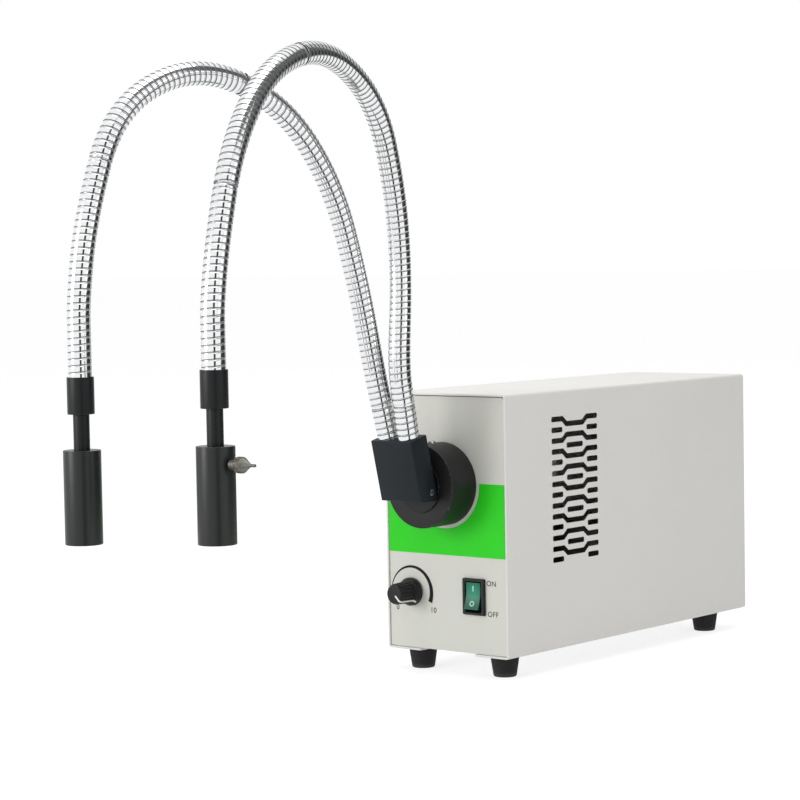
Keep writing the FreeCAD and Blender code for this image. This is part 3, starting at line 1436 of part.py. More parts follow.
def build():
    """All nodes of the assembly by name."""
    nodes = {
        "cover": make_cover(),
        "chassis": make_chassis(),
        "front_panel": make_front_panel(),
        "rear_panel": make_rear_panel(),
        "green_band": make_green_band(),
        "feet": make_feet(),
        "foot_screws": make_foot_screws(),
        "rear_screws": make_rear_screws(),
        "port_collar": make_port_collar(),
        "port_lock_screw": make_port_lock_screw(),
        "port_adapter": make_port_adapter(),
        "guide_plug": make_guide_plug(),
        "guide_block": make_guide_block(),
        "block_screws": make_block_screws(),
        "guide_bundle": bundle_shape(0),
        "knob": make_knob(),
        "pot_shaft": make_pot_shaft(),
        "potentiometer": make_potentiometer(),
        "pot_nut": make_pot_nut(),
        "switch_housing": make_switch_housing(),
        "switch_rocker": make_switch_rocker(),
        "lamp_bracket": make_lamp_bracket(),
        "heat_filter": make_heat_filter(),
        "lamp": make_lamp(),
        "lamp_socket": make_lamp_socket(),
        "transformer_core": make_transformer_core(),
        "transformer_coil": make_transformer_coil(),
        "dimmer_board": make_dimmer_board(),
        "board_standoffs": make_board_standoffs(),
        "heat_sink": make_heat_sink(),
        "fan_frame": make_fan_frame(),
        "fan_rotor": make_fan_rotor(),
        "mains_inlet": make_mains_inlet(),
        "inlet_pins": make_inlet_pins(),
        "fuse_drawer": make_fuse_drawer(),
        "fuse": make_fuse(),
    }
    span_names = ("root", "rise", "crown", "drop")
    for side in SIDES:
        for span, span_name in enumerate(span_names):
            nodes[f"hose_{side}_{span_name}"] = make_hose_span(side, span)
        nodes[f"end_ferrule_{side}"] = make_end_ferrule(side)
        nodes[f"end_stem_{side}"] = make_end_stem(side)
        nodes[f"fibre_tip_{side}"] = make_fibre_tip(side)
        nodes[f"lens_barrel_{side}"] = make_lens_barrel(side)
        nodes[f"lens_{side}"] = make_lens(side)
        nodes[f"lens_ring_{side}"] = make_lens_ring(side)
        nodes[f"thumbscrew_{side}"] = make_thumbscrew(side)
    return nodes


def export(nodes):
    """Writes each node to its own STEP file, in the frame of the whole object."""
    os.makedirs("parts", exist_ok=True)
    for name, shape in nodes.items():
        moved = shape.copy()
        moved.translate(ORIGIN_SHIFT)
        moved.exportStep(f"parts/{name}.step")


if __name__ == "__main__":
    export(build())
    for arm_side in SIDES:
        print(f"hose_{arm_side}: {hose_length(arm_side):.1f} mm")
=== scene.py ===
"""A fibre optic illuminator, dressed: a lamp housing and a dual gooseneck light guide.

Points are in metres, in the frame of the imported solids: +X to the right of someone facing the
front panel, +Y towards the rear, +Z up, with the bench top at z = 0. The pieces' own sizes are
written in millimetres and become metres where their points are made.
"""

import json
import logging
import math
from abc import ABC, abstractmethod
from dataclasses import dataclass
from enum import Enum
from typing import Any, Sequence

import bmesh
import bpy
from mathutils import Matrix, Vector

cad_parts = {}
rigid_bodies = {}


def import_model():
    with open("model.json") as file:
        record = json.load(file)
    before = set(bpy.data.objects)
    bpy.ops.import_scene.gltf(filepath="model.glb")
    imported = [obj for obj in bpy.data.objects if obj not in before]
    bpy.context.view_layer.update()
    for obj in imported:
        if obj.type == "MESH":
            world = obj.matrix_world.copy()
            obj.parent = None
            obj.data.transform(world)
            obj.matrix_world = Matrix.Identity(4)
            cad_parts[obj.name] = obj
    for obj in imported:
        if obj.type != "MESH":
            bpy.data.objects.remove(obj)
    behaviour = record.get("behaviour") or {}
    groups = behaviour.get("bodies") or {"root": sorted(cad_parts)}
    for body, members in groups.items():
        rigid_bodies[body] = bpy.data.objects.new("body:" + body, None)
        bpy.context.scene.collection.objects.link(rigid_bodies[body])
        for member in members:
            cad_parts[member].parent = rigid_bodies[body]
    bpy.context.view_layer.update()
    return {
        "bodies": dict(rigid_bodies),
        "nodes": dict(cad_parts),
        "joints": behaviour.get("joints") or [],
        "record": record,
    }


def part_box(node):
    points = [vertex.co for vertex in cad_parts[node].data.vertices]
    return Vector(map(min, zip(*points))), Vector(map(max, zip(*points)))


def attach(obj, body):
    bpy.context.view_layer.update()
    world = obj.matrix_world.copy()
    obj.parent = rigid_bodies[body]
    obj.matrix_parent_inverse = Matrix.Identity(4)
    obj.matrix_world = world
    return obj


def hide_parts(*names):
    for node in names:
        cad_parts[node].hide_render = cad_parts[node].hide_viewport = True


LOG = logging.getLogger("illuminator")
MM = 0.001
UP = Vector((0, 0, 1))
DOWN = Vector((0, 0, -1))
RIGHT = Vector((1, 0, 0))
FORWARD = Vector((0, -1, 0))
REARWARD = Vector((0, 1, 0))
STILL = Matrix.Identity(4)

# Where the cover, the panel, the light port and the feet lie, in millimetres
COVER_FRONT = -3.553
FEET_HEIGHT = 12.3
PANEL_FACE = 0.8
PORT_LINE = -1.5
FOOT_PLACES = tuple((x, y) for x in (-30.0, 30.0) for y in (15.0, 226.0))

Pair = tuple[float, float]
Triple = tuple[float, float, float]
Colour = Triple
Outline = Sequence[Pair]
Thing = bpy.types.Object
Work = bmesh.types.BMesh


class Side(Enum):
    """The two arms of the light guide, by the sign of their place along X."""

    LEFT = -1
    RIGHT = 1

    @property
    def word(self) -> str:
        """The side's name in the names of nodes and bodies."""
        return self.name.lower()


# -------------------------------- node trees


class Wire:
    """An output of a node tree, on which sums are written as plain expressions."""

    def __init__(self, graph: "Graph", socket: bpy.types.NodeSocket) -> None:
        """Keeps the tree and the socket that the value comes from."""
        self.graph = graph
        self.socket = socket

    def _sum(self, operation: str, left: Any, right: Any) -> "Wire":
        """Adds a Math node to the tree."""
        return self.graph.node("ShaderNodeMath", {"operation": operation}, {0: left, 1: right})

    def __add__(self, other: Any) -> "Wire":
        """This value plus another."""
        return self._sum("ADD", self, other)

    __radd__ = __add__

    def __sub__(self, other: Any) -> "Wire":
        """This value less another."""
        return self._sum("SUBTRACT", self, other)

    def __rsub__(self, other: Any) -> "Wire":
        """Another value less this one."""
        return self._sum("SUBTRACT", other, self)

    def __mul__(self, other: Any) -> "Wire":
        """This value times another."""
        return self._sum("MULTIPLY", self, other)

    __rmul__ = __mul__

    def __truediv__(self, other: Any) -> "Wire":
        """This value divided by another."""
        return self._sum("DIVIDE", self, other)

    def at_least(self, other: Any) -> "Wire":
        """The larger of this value and another."""
        return self._sum("MAXIMUM", self, other)

    def at_most(self, other: Any) -> "Wire":
        """The smaller of this value and another."""
        return self._sum("MINIMUM", self, other)

    def apply(self, operation: str) -> "Wire":
        """A Math operation with one input, such as FLOOR, FRACT, SINE or ABSOLUTE."""
        return self.graph.node("ShaderNodeMath", {"operation": operation}, {0: self})

    def part(self, axis: int) -> "Wire":
        """The X, Y or Z part of a vector, by its number."""
        return self.graph.node("ShaderNodeSeparateXYZ", {}, {0: self}, axis)

    def sibling(self, name: str) -> "Wire":
        """Another output of the same node."""
        return Wire(self.graph, self.socket.node.outputs[name])


class Graph:
    """A node tree that is written node by node."""

    def __init__(self, tree: bpy.types.NodeTree) -> None:
        """Keeps the tree that nodes are added to."""
        self.tree = tree

    def node(
        self,
        kind: str,
        settings: dict[str, Any] | None = None,
        inputs: dict[Any, Any] | None = None,
        output: Any = 0,
    ) -> Wire:
        """Adds one node.

        Args:
            kind: The node's type.
            settings: Its own settings, set first. "stops" fills a colour ramp.
            inputs: Values or wires by the number or name of the socket.
            output: The number or name of the output that is handed back.

        Returns:
            The wire of that output.
        """
        node = self.tree.nodes.new(kind)
        for key, value in (settings or {}).items():
            if key == "stops":
                self._fill_ramp(node.color_ramp, value)
            else:
                setattr(node, key, value)
        for key, value in (inputs or {}).items():
            self.feed(node.inputs[key], value)
        return Wire(self, node.outputs[output])

    def feed(self, socket: bpy.types.NodeSocket, value: Any) -> None:
        """Gives a socket its value.

        Args:
            socket: An input of a node.
            value: A wire to link to it, or the value to set on it.
        """
        if isinstance(value, Wire):
            self.tree.links.new(value.socket, socket)
        elif isinstance(value, tuple) and len(value) == 3 and socket.type == "RGBA":
            socket.default_value = (*value, 1.0)
        else:
            socket.default_value = value

    def end(self, kind: str, result: Wire) -> None:
        """Adds the tree's output node and links the result to it."""
        self.tree.links.new(result.socket, self.tree.nodes.new(kind).inputs[0])

    def step(self, value: Wire, low: float, high: float) -> Wire:
        """A smooth step from 0 at low to 1 at high."""
        inputs = {"Value": value, "From Min": low, "From Max": high}
        return self.node("ShaderNodeMapRange", {"interpolation_type": "SMOOTHSTEP"}, inputs)

    def vector(self, operation: str, first: Any, second: Any, output: int = 0) -> Wire:
        """A Vector Math node with two inputs; SCALE takes a number as its second."""
        inputs = {0: first, "Scale" if operation == "SCALE" else 1: second}
        return self.node("ShaderNodeVectorMath", {"operation": operation}, inputs, output)

    def ramp(self, value: Wire, stops: Outline) -> Wire:
        """A curve of straight runs through (position, value) stops."""
        grey = [(position, (level, level, level)) for position, level in stops]
        return self.node("ShaderNodeValToRGB", {"stops": grey}, {0: value})

    @staticmethod
    def _fill_ramp(ramp: bpy.types.ColorRamp, stops: Sequence[tuple[float, Colour]]) -> None:
        """Sets a ramp's stops.

        Args:
            ramp: The ramp, as new.
            stops: Its stops, as (position, colour).
        """
        while len(ramp.elements) < len(stops):
            ramp.elements.new(1.0)
        for element, (position, colour) in zip(ramp.elements, stops):
            element.position = position
            element.color = (*colour, 1.0)


class Shader(Graph):
    """A material's tree: one principled shader and what feeds it."""

    def __init__(self, name: str) -> None:
        """Starts a material with a principled shader.

        Args:
            name: The material's name.
        """
        self.material = bpy.data.materials.new(name)
        self.material.use_nodes = True
        super().__init__(self.material.node_tree)
        self.tree.nodes.clear()
        shader = self.node("ShaderNodeBsdfPrincipled")
        self.surface = shader.socket.node
        self.end("ShaderNodeOutputMaterial", shader)
        self.place = self.node("ShaderNodeTexCoord", output="Object")

    def set(self, **values: Any) -> None:
        """Feeds the principled shader; a socket's name is written with underscores."""
        for key, value in values.items():
            self.feed(self.surface.inputs[key.replace("_", " ")], value)

    def noise(self, size: float, detail: float = 2.0, stretch: Triple = (1, 1, 1)) -> Wire:
        """Soft noise.

        Args:
            size: About how large its features are.
            detail: Its finer layers.
            stretch: How much closer the features lie along each axis.

        Returns:
            A value from 0 to 1.
        """
        scale = tuple(part / (size * MM) for part in stretch)
        inputs = {"Vector": self.vector("MULTIPLY", self.place, scale), "Scale": 1.0}
        return self.node("ShaderNodeTexNoise", {}, {**inputs, "Detail": detail}, "Fac")

    def cells(self, size: float, output: str = "Distance") -> Wire:
        """A cell pattern whose cells have about this size."""
        inputs = {"Vector": self.place, "Scale": 1 / (size * MM)}
        return self.node("ShaderNodeTexVoronoi", {"feature": "F1"}, inputs, output)

    def mix(self, mask: Any, first: Any, second: Any) -> Wire:
        """The first colour, or the second where the mask is 1."""
        settings = {"data_type": "RGBA", "clamp_factor": True}
        return self.node("ShaderNodeMix", settings, {0: mask, 6: first, 7: second}, 2)

    def mark(self, name: str) -> Wire:
        """A number that the mesh stores at its points."""
        return self.node("ShaderNodeAttribute", {"attribute_name": name}, {}, "Fac")

    def bump(self, height: Wire, depth: float, strength: float) -> None:
        """Raises the surface by a height from 0 to 1 times a depth."""
        inputs = {"Height": height, "Distance": depth * MM, "Strength": strength}
        self.set(Normal=self.node("ShaderNodeBump", {}, inputs))


class Recipe(Graph):
    """A Geometry Nodes tree with named inputs, whose result becomes a plain mesh."""

    KINDS = {
        "object": "NodeSocketObject", "float": "NodeSocketFloat", "int": "NodeSocketInt",
        "vector": "NodeSocketVector", "material": "NodeSocketMaterial",
    }

    def __init__(self, name: str) -> None:
        """Starts an empty tree.

        Args:
            name: The tree's name.
        """
        super().__init__(bpy.data.node_groups.new(name, "GeometryNodeTree"))
        kind = "NodeSocketGeometry"
        self.tree.interface.new_socket("Geometry", in_out="OUTPUT", socket_type=kind)
        self.start = self.tree.nodes.new("NodeGroupInput")

    def ask(self, **kinds: str) -> list[Wire]:
        """Adds named inputs.

        Args:
            **kinds: The kind of each input by its name, with underscores for spaces.

        Returns:
            Their wires, in order.
        """
        wires = []
        for key, kind in kinds.items():
            name = key.replace("_", " ")
            self.tree.interface.new_socket(name, in_out="INPUT", socket_type=self.KINDS[kind])
            wires.append(Wire(self, self.start.outputs[name]))
        return wires

    def model(self, thing: Wire) -> Wire:
        """The geometry of an object input."""
        settings = {"transform_space": "ORIGINAL"}
        return self.node("GeometryNodeObjectInfo", settings, {0: thing}, "Geometry")

    def serve(self, geometry: Wire, finish: Wire) -> None:
        """Ends the tree: instances are made real and given their finish.

        Args:
            geometry: What the tree makes.
            finish: The material input.
        """
        real = self.node("GeometryNodeRealizeInstances", {}, {0: geometry})
        inputs = {"Geometry": real, "Material": finish}
        self.end("NodeGroupOutput", self.node("GeometryNodeSetMaterial", {}, inputs))

    def spread(self, shape: Wire, points: Wire, rotation: Wire, finish: Wire) -> None:
        """Ends the tree with a copy of one shape at each point."""
        inputs = {"Points": points, "Instance": self.model(shape), "Rotation": rotation}
        self.serve(self.node("GeometryNodeInstanceOnPoints", {}, inputs), finish)

    def make(self, name: str, finish: "Finish", **values: Any) -> Thing:
        """Runs the tree once.

        Args:
            name: The name of the object that is made.
            finish: What it is dressed in.
            **values: The other inputs, named with underscores for spaces.

        Returns:
            An object with the result as a plain mesh.
        """
        host = link(name + "_host", bpy.data.meshes.new(name + "_host"))
        modifier = host.modifiers.new(name, "NODES")
        modifier.node_group = self.tree
        values["Finish"] = finish.material()
        for item in self.tree.interface.items_tree:
            if item.in_out == "INPUT":
                modifier[item.identifier] = values[item.name.replace(" ", "_")]
        mesh = evaluated_mesh(host)
        host.modifiers.remove(modifier)
        drop(host)
        return link(name, mesh)


# -------------------------------- mesh helpers


def link(name: str, data: Any) -> Thing:
    """Puts new data in the scene.

    Args:
        name: The name of the object and of its data.
        data: A mesh, curve, camera or light.

    Returns:
        The object that shows it.
    """
    data.name = name
    thing = bpy.data.objects.new(name, data)
    bpy.context.scene.collection.objects.link(thing)
    return thing


def drop(*things: Thing) -> None:
    """Removes helper objects."""
    for thing in things:
        bpy.data.objects.remove(thing)


def evaluated_mesh(thing: Thing) -> bpy.types.Mesh:
    """An object's shape with its modifiers applied.

    Args:
        thing: The object.

    Returns:
        The shape as a new mesh.
    """
    bpy.context.view_layer.update()
    evaluated = thing.evaluated_get(bpy.context.evaluated_depsgraph_get())
    return bpy.data.meshes.new_from_object(evaluated)


def pose_matrix(origin: Vector, axis: Vector) -> Matrix:
    """The move that takes +Z at the origin to an axis at another point."""
    return Matrix.Translation(origin) @ UP.rotation_difference(axis).to_matrix().to_4x4()


def finish_mesh(name: str, work: Work, finish: "Finish", smooth_below: float = 35.0) -> Thing:
    """Turns a bmesh into an object with outward faces, its finish and soft shading.

    Args:
        name: The object's name.
        work: The mesh so far; it is freed.
        finish: What it is dressed in.
        smooth_below: Edges under this angle in degrees are shaded smooth.

    Returns:
        The object, at the origin.
    """
    bmesh.ops.remove_doubles(work, verts=work.verts, dist=1e-7)
    bmesh.ops.dissolve_degenerate(work, edges=work.edges, dist=1e-7)
    bmesh.ops.recalc_face_normals(work, faces=work.faces)
    mesh = bpy.data.meshes.new(name)
    work.to_mesh(mesh)
    work.free()
    mesh.polygons.foreach_set("use_smooth", [True] * len(mesh.polygons))
    mesh.set_sharp_from_angle(angle=math.radians(smooth_below))
    mesh.materials.append(finish.material())
    return link(name, mesh)


def bent_run(start: Vector, corner: Vector, end: Vector, share: float) -> Vector:
    """The point at a share of the way along the bend that a corner pulls two ends into."""
    return start * (1 - share) ** 2 + corner * 2 * share * (1 - share) + end * share**2


def softened(outline: Outline, radius: float, steps: int = 4) -> list[Triple]:
    """Rounds the inner corners of an open outline.

    Args:
        outline: Its points in a plane.
        radius: The size of each rounding, less where a run is short.
        steps: Runs in each rounding.

    Returns:
        Points with a third value, which is 1 in the middle of a rounding and else 0; turned pieces
        keep it as the edge mark, where finishes paint wear and a painted highlight.
    """
    points = [Vector(point) for point in outline]
    made = [(*points[0], 0.0)]
    for before, corner, after in zip(points, points[1:], points[2:]):
        run_in, run_out = corner - before, after - corner
        turn = run_in.angle(run_out)
        if turn < 0.05:
            made.append((*corner, 0.0))
            continue
        reach = min(radius * math.tan(turn / 2), 0.45 * min(run_in.length, run_out.length))
        start = corner - run_in.normalized() * reach
        end = corner + run_out.normalized() * reach
        for index in range(steps + 1):
            edge_wear_and_highlight = 1.0 if 0 < index < steps else 0.0
            made.append((*bent_run(start, corner, end, index / steps), edge_wear_and_highlight))
    made.append((*points[-1], 0.0))
    return made


def bridge(work: Work, before: list, after: list) -> None:
    """Makes faces between two closed loops.

    Args:
        work: The mesh.
        before: One loop of points, or a list with a single point.
        after: The other.
    """
    count = max(len(before), len(after))
    for index in range(count):
        following = (index + 1) % count
        corners = []
        for loop, places in ((before, (index, following)), (after, (following, index))):
            corners += [loop[place] for place in places] if len(loop) > 1 else [loop[0]]
        work.faces.new(corners)


def closed_skin(work: Work, loops: Sequence[Sequence[Any]]) -> list[bmesh.types.BMFace]:
    """Adds a closed skin over loops of places.

    Args:
        work: The mesh.
        loops: Loops with the same count of places, in order.

    Returns:
        The faces that close its two ends.
    """
    rings = [[work.verts.new(place) for place in loop] for loop in loops]
    for before, after in zip(rings, rings[1:]):
        bridge(work, before, after)
    return [work.faces.new(rings[0]), work.faces.new(rings[-1])]


def lofted(
    name: str,
    loops: Sequence[Sequence[Any]],
    finish: "Finish",
    place: Matrix = STILL,
    smooth_below: float = 35.0,
) -> Thing:
    """A piece with a closed skin over loops of places.

    Args:
        name: The object's name.
        loops: Loops with the same count of places, in order.
        finish: What it is dressed in.
        place: Where the loops' own frame lies.
        smooth_below: Edges under this angle in degrees are shaded smooth.

    Returns:
        The object.
    """
    work = bmesh.new()
    closed_skin(work, loops)
    work.transform(place)
    return finish_mesh(name, work, finish, smooth_below)


def turned(
    name: str,
    outline: Outline,
    origin: Vector,
    axis: Vector,
    finish: "Finish",
    edge: float = 0.3,
    sides: int = 96,
) -> Thing:
    """A piece turned on a lathe.

    Args:
        name: The object's name.
        outline: Points as (radius, distance along the axis). It starts and ends on the axis,
            or its ends are joined to close a ring.
        origin: The point at distance 0.
        axis: The direction of the distances.
        finish: What it is dressed in.
        edge: The rounding of its edges.
        sides: Steps round the axis.

    Returns:
        The object.
    """
    outline = [(radius * MM, distance * MM) for radius, distance in outline]
    if outline[0][0] > 0:
        middle = ((outline[0][0] + outline[1][0]) / 2, (outline[0][1] + outline[1][1]) / 2)
        outline = [middle, *outline[1:], outline[0], middle]
    work = bmesh.new()
    # The edge mark: finishes paint wear and a painted highlight on the roundings.
    layer = work.verts.layers.float.new("edge")
    loops = []
    for radius, distance, edge_wear_and_highlight in softened(outline, edge * MM):
        loop = []
        for index in range(sides if radius > 1e-9 else 1):
            angle = 2 * math.pi * index / sides
            vert = work.verts.new((radius * math.cos(angle), radius * math.sin(angle), distance))
            vert[layer] = edge_wear_and_highlight
            loop.append(vert)
        loops.append(loop)
    for before, after in zip(loops, loops[1:]):
        bridge(work, before, after)
    work.transform(pose_matrix(origin, axis))
    return finish_mesh(name, work, finish)


def plate(
    name: str, outline: Sequence[Vector], run: Vector, finish: "Finish", edge: float
) -> Thing:
    """A flat outline given a thickness, with rounded edges.

    Args:
        name: The object's name.
        outline: The corners of one face, in order.
        run: From that face to the other.
        finish: What it is dressed in.
        edge: The rounding of all edges.

    Returns:
        The object.
    """
    work = bmesh.new()
    closed_skin(work, [outline, [point + run for point in outline]])
    bmesh.ops.recalc_face_normals(work, faces=work.faces)
    bmesh.ops.bevel(
        work, geom=work.edges[:], offset=edge * MM, segments=3, profile=0.5, affect="EDGES",
        clamp_overlap=True,
    )
    return finish_mesh(name, work, finish)


def rounded_rectangle(width: float, height: float, corner: float, depth: float) -> list[Vector]:
    """Places round a rectangle with round corners.

    Args:
        width: Its size along X.
        height: Its size along Y.
        corner: The radius of its corners.
        depth: Its place along Z.

    Returns:
        The places in metres, about its middle.
    """
    places = []
    for quarter, (x, y) in enumerate(((1, 1), (-1, 1), (-1, -1), (1, -1))):
        centre = Vector((x * (width / 2 - corner), y * (height / 2 - corner), depth))
        for index in range(7):
            angle = (quarter + index / 6) * math.pi / 2
            spoke = Vector((math.cos(angle), math.sin(angle), 0)) * corner
            places.append((centre + spoke) * MM)
    return places


def joined(name: str, things: Sequence[Thing]) -> Thing:
    """Makes several objects one.

    Args:
        name: The new object's name.
        things: The objects, which are used up and keep their own finishes.

    Returns:
        The object.
    """
    work = bmesh.new()
    finishes: list[bpy.types.Material] = []
    for thing in things:
        first = len(work.faces)
        work.from_mesh(thing.data)
        work.faces.ensure_lookup_table()
        for face in work.faces[first:]:
            own = thing.data.materials[face.material_index]
            if own not in finishes:
                finishes.append(own)
            face.material_index = finishes.index(own)
    mesh = bpy.data.meshes.new(name)
    work.to_mesh(mesh)
    work.free()
    for own in finishes:
        mesh.materials.append(own)
    drop(*things)
    return link(name, mesh)


def cut(piece: Thing, *tools: Thing, keep: bool = False) -> Thing:
    """Takes closed shapes out of a piece; the shapes are used up.

    Args:
        piece: The piece that is cut.
        *tools: The shapes taken out.
        keep: True leaves the shapes' own finish on the walls of their holes.

    Returns:
        A new object with the piece's name.
    """
    for tool in tools:
        modifier = piece.modifiers.new("cut", "BOOLEAN")
        modifier.operation = "DIFFERENCE"
        modifier.solver = "EXACT"
        modifier.material_mode = "TRANSFER" if keep else "INDEX"
        modifier.object = tool
    mesh = evaluated_mesh(piece)
    name, finish = piece.name, piece.data.materials[0]
    if not keep:
        mesh.materials.clear()
        mesh.materials.append(finish)
        mesh.polygons.foreach_set("material_index", [0] * len(mesh.polygons))
    mesh.set_sharp_from_angle(angle=math.radians(35))
    drop(piece, *tools)
    return link(name, mesh)


def bar(origin: Vector, axis: Vector, radius: float, length: float, sides: int = 32) -> Thing:
    """A round or many-sided tool for cutting.

    Args:
        origin: The middle of its near end.
        axis: The direction it reaches in.
        radius: Its radius, out to the corners.
        length: Its length.
        sides: Its sides.

    Returns:
        The tool.
    """
    radius, length = radius * MM, length * MM
    work = bmesh.new()
    bmesh.ops.create_cone(
        work, cap_ends=True, segments=sides, radius1=radius, radius2=radius, depth=length
    )
    work.transform(pose_matrix(origin + axis * (length / 2), axis))
    return finish_mesh("tool", work, SCREW_STEEL)


def slab(origin: Vector, size: Triple) -> Thing:
    """A box for cutting.

    Args:
        origin: Its middle.
        size: Its sizes along X, Y and Z.

    Returns:
        The tool.
    """
    work = bmesh.new()
    scale = Matrix.Diagonal((*(side * MM for side in size), 1.0))
    bmesh.ops.create_cube(work, size=1.0, matrix=Matrix.Translation(origin) @ scale)
    return finish_mesh("tool", work, SCREW_STEEL)


def settle(piece: Thing, body: str, slot: str, *nodes: str) -> None:
    """Hands a finished piece to the frame.

    Args:
        piece: The piece.
        body: The body that it moves with.
        slot: The slot that its finish stands for, or nothing for ink; it is not used.
        *nodes: The solids that it is shown in place of.
    """
    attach(piece, body)
    if nodes:
        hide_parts(*nodes)
    LOG.info("%s: %d faces on %s", piece.name, len(piece.data.polygons), body)


# -------------------------------- finishes


# The materials that are made already, by name
MADE: dict[str, bpy.types.Material] = {}


@dataclass(frozen=True)
class Finish(ABC):
    """What a surface is made of, with a colour, a roughness and a way to paint it."""

    name: str
    colour: Colour
    roughness: float

    def material(self) -> bpy.types.Material:
        """The finish's material, made when it is first asked for.

        Returns:
            The material.
        """
        if self.name not in MADE:
            shader = Shader(self.name)
            self.paint(shader)
            MADE[self.name] = shader.material
        return MADE[self.name]

    def shade(self, factor: float) -> Colour:
        """The finish's colour made darker or lighter by a factor."""
        return tuple(min(1.0, part * factor) for part in self.colour)

    def between(self, shader: Shader, mask: Wire, low: float, high: float) -> Wire:
        """The colour made darker or lighter by low, or by high where the mask is 1."""
        return shader.mix(mask, self.shade(low), self.shade(high))

    @abstractmethod
    def paint(self, shader: Shader) -> None:
        """Writes the nodes."""


@dataclass(frozen=True)
class PowderCoat(Finish):
    """Baked powder paint: orange peel, faint clouds in the tone and a few handling marks."""

    peel: float = 1.1

    def paint(self, shader: Shader) -> None:
        """Writes the nodes.

        Args:
            shader: The material's tree.
        """
        speck = shader.step(shader.noise(0.5, 1), 0.68, 0.78)
        tone = self.between(shader, shader.noise(60, 3), 0.97, 1.03)
        rub = shader.step(shader.noise(25, 4, (1, 0.25, 1)), 0.5, 0.75)
        shader.set(
            Base_Color=shader.mix(speck * 0.12, tone, self.shade(0.8)),
            Roughness=self.roughness + rub * 0.08 - speck * 0.1,
            Specular_IOR_Level=0.42,
        )
        shader.bump(shader.noise(self.peel) * 0.8 + shader.noise(self.peel / 4, 1) * 0.2, 0.03, 0.5)


@dataclass(frozen=True)
class PrintedFilm(Finish):
    """Screen-printed film: even ink under a satin face, with a fine dot texture."""

    def paint(self, shader: Shader) -> None:
        """Writes the nodes.

        Args:
            shader: The material's tree.
        """
        dots = shader.cells(0.45)
        tone = self.between(shader, shader.noise(30), 0.9, 1.08)
        shader.set(
            Base_Color=shader.mix(shader.step(dots, 0.2, 0.6) * 0.15, tone, self.shade(0.85)),
            Roughness=self.roughness + shader.noise(12, 3) * 0.12,
            Specular_IOR_Level=0.25,
        )
        shader.bump(dots, 0.01, 0.4)


@dataclass(frozen=True)
class Anodised(Finish):
    """Dyed anodised aluminium: fine turning lines, a soft metal sheen and paler edges, partly wear
    to bare metal and partly a painted highlight.
    """

    lines: Triple = (0.02, 0.02, 1.0)
    # The paler colour of the edges: partly bare metal from wear, partly a painted highlight.
    bare: Colour = (0.30, 0.30, 0.31)
    sheen: float = 0.3

    def paint(self, shader: Shader) -> None:
        """Writes the nodes.

        Args:
            shader: The material's tree.
        """
        turning = shader.noise(0.22, 2, self.lines)
        blast = shader.noise(0.15, 1)
        tone = self.between(shader, shader.noise(9, 3), 0.88, 1.12)
        # Paler edges: partly wear to bare metal, partly a painted highlight.
        wear_and_highlight = shader.mark("edge") * shader.step(shader.noise(1.6, 3), 0.5, 0.75)
        shader.set(
            Base_Color=shader.mix(wear_and_highlight * 0.3, tone, self.bare),
            Roughness=self.roughness + blast * 0.1 - wear_and_highlight * 0.08,
            Metallic=wear_and_highlight * 0.3,
            Specular_IOR_Level=self.sheen,
        )
        shader.bump(turning * 0.6 + blast * 0.4, 0.012, 0.7)


@dataclass(frozen=True)
class WoundSteel(Finish):
    """Bright chromed strip: mirror lands, painted shade in the seams and faint rubbing along the
    hose.
    """

    shadow: Colour = (0.012, 0.013, 0.014)

    def paint(self, shader: Shader) -> None:
        """Writes the nodes.

        Args:
            shader: The material's tree.
        """
        # Painted shade: the seam mark darkens the colour towards the shadow colour in the seams.
        seam = shader.mark("seam")
        film = shader.noise(14, 3)
        hair = shader.noise(0.35)
        tone = self.between(shader, film, 0.95, 1.04)
        shader.set(
            Base_Color=shader.mix(seam, tone, self.shadow),
            Roughness=self.roughness + film * 0.06 + seam * 0.4 + hair * 0.03,
            Metallic=1.0 - seam * 0.5,
        )
        shader.bump(hair, 0.004, 0.5)


@dataclass(frozen=True)
class Metal(Finish):
    """Plain machined or plated metal with fine scratches, dull patches and a painted highlight on
    its edges.
    """

    def paint(self, shader: Shader) -> None:
        """Writes the nodes.

        Args:
            shader: The material's tree.
        """
        lines = shader.noise(0.12, 2, (1.0, 0.06, 1.0))
        dull = shader.step(shader.noise(2.2, 4), 0.45, 0.7)
        tone = shader.mix(dull, self.colour, self.shade(0.72))
        shader.set(
            # Painted highlight: the colour is lighter on the rounded edges.
            Base_Color=shader.mix(shader.mark("edge") * 0.5, tone, self.shade(1.25)),
            Roughness=self.roughness + dull * 0.16 + lines * 0.08,
            Metallic=1.0,
        )
        shader.bump(lines, 0.008, 0.6)


@dataclass(frozen=True)
class Spangle(Finish):
    """Galvanised sheet with its zinc flowers."""

    def paint(self, shader: Shader) -> None:
        """Writes the nodes.

        Args:
            shader: The material's tree.
        """
        flower = shader.cells(9, "Color").part(0)
        frost = shader.noise(1.2, 3)
        shader.set(
            Base_Color=self.between(shader, flower, 0.78, 1.1),
            Roughness=self.roughness + flower * 0.14 + frost * 0.08,
            Metallic=0.9,
        )
        shader.bump(frost, 0.02, 0.4)


@dataclass(frozen=True)
class Moulding(Finish):
    """Moulded plastic with a fine spark texture, faint flow marks and rubbed edges, glossier from
    wear and lighter from a painted highlight.
    """

    grain: float = 0.25

    def paint(self, shader: Shader) -> None:
        """Writes the nodes.

        Args:
            shader: The material's tree.
        """
        spark = shader.noise(self.grain)
        # Rubbed edges: glossier from wear, and lighter from a painted highlight.
        wear_and_highlight = shader.mark("edge") * shader.step(shader.noise(1.5), 0.4, 0.65)
        tone = self.between(shader, shader.noise(7, 3, (1, 1, 0.4)), 0.85, 1.2)
        shader.set(
            Base_Color=shader.mix(wear_and_highlight * 0.3, tone, self.shade(2.6)),
            Roughness=self.roughness + spark * 0.12 - wear_and_highlight * 0.1,
            Specular_IOR_Level=0.3,
        )
        shader.bump(spark, 0.02, 0.6)


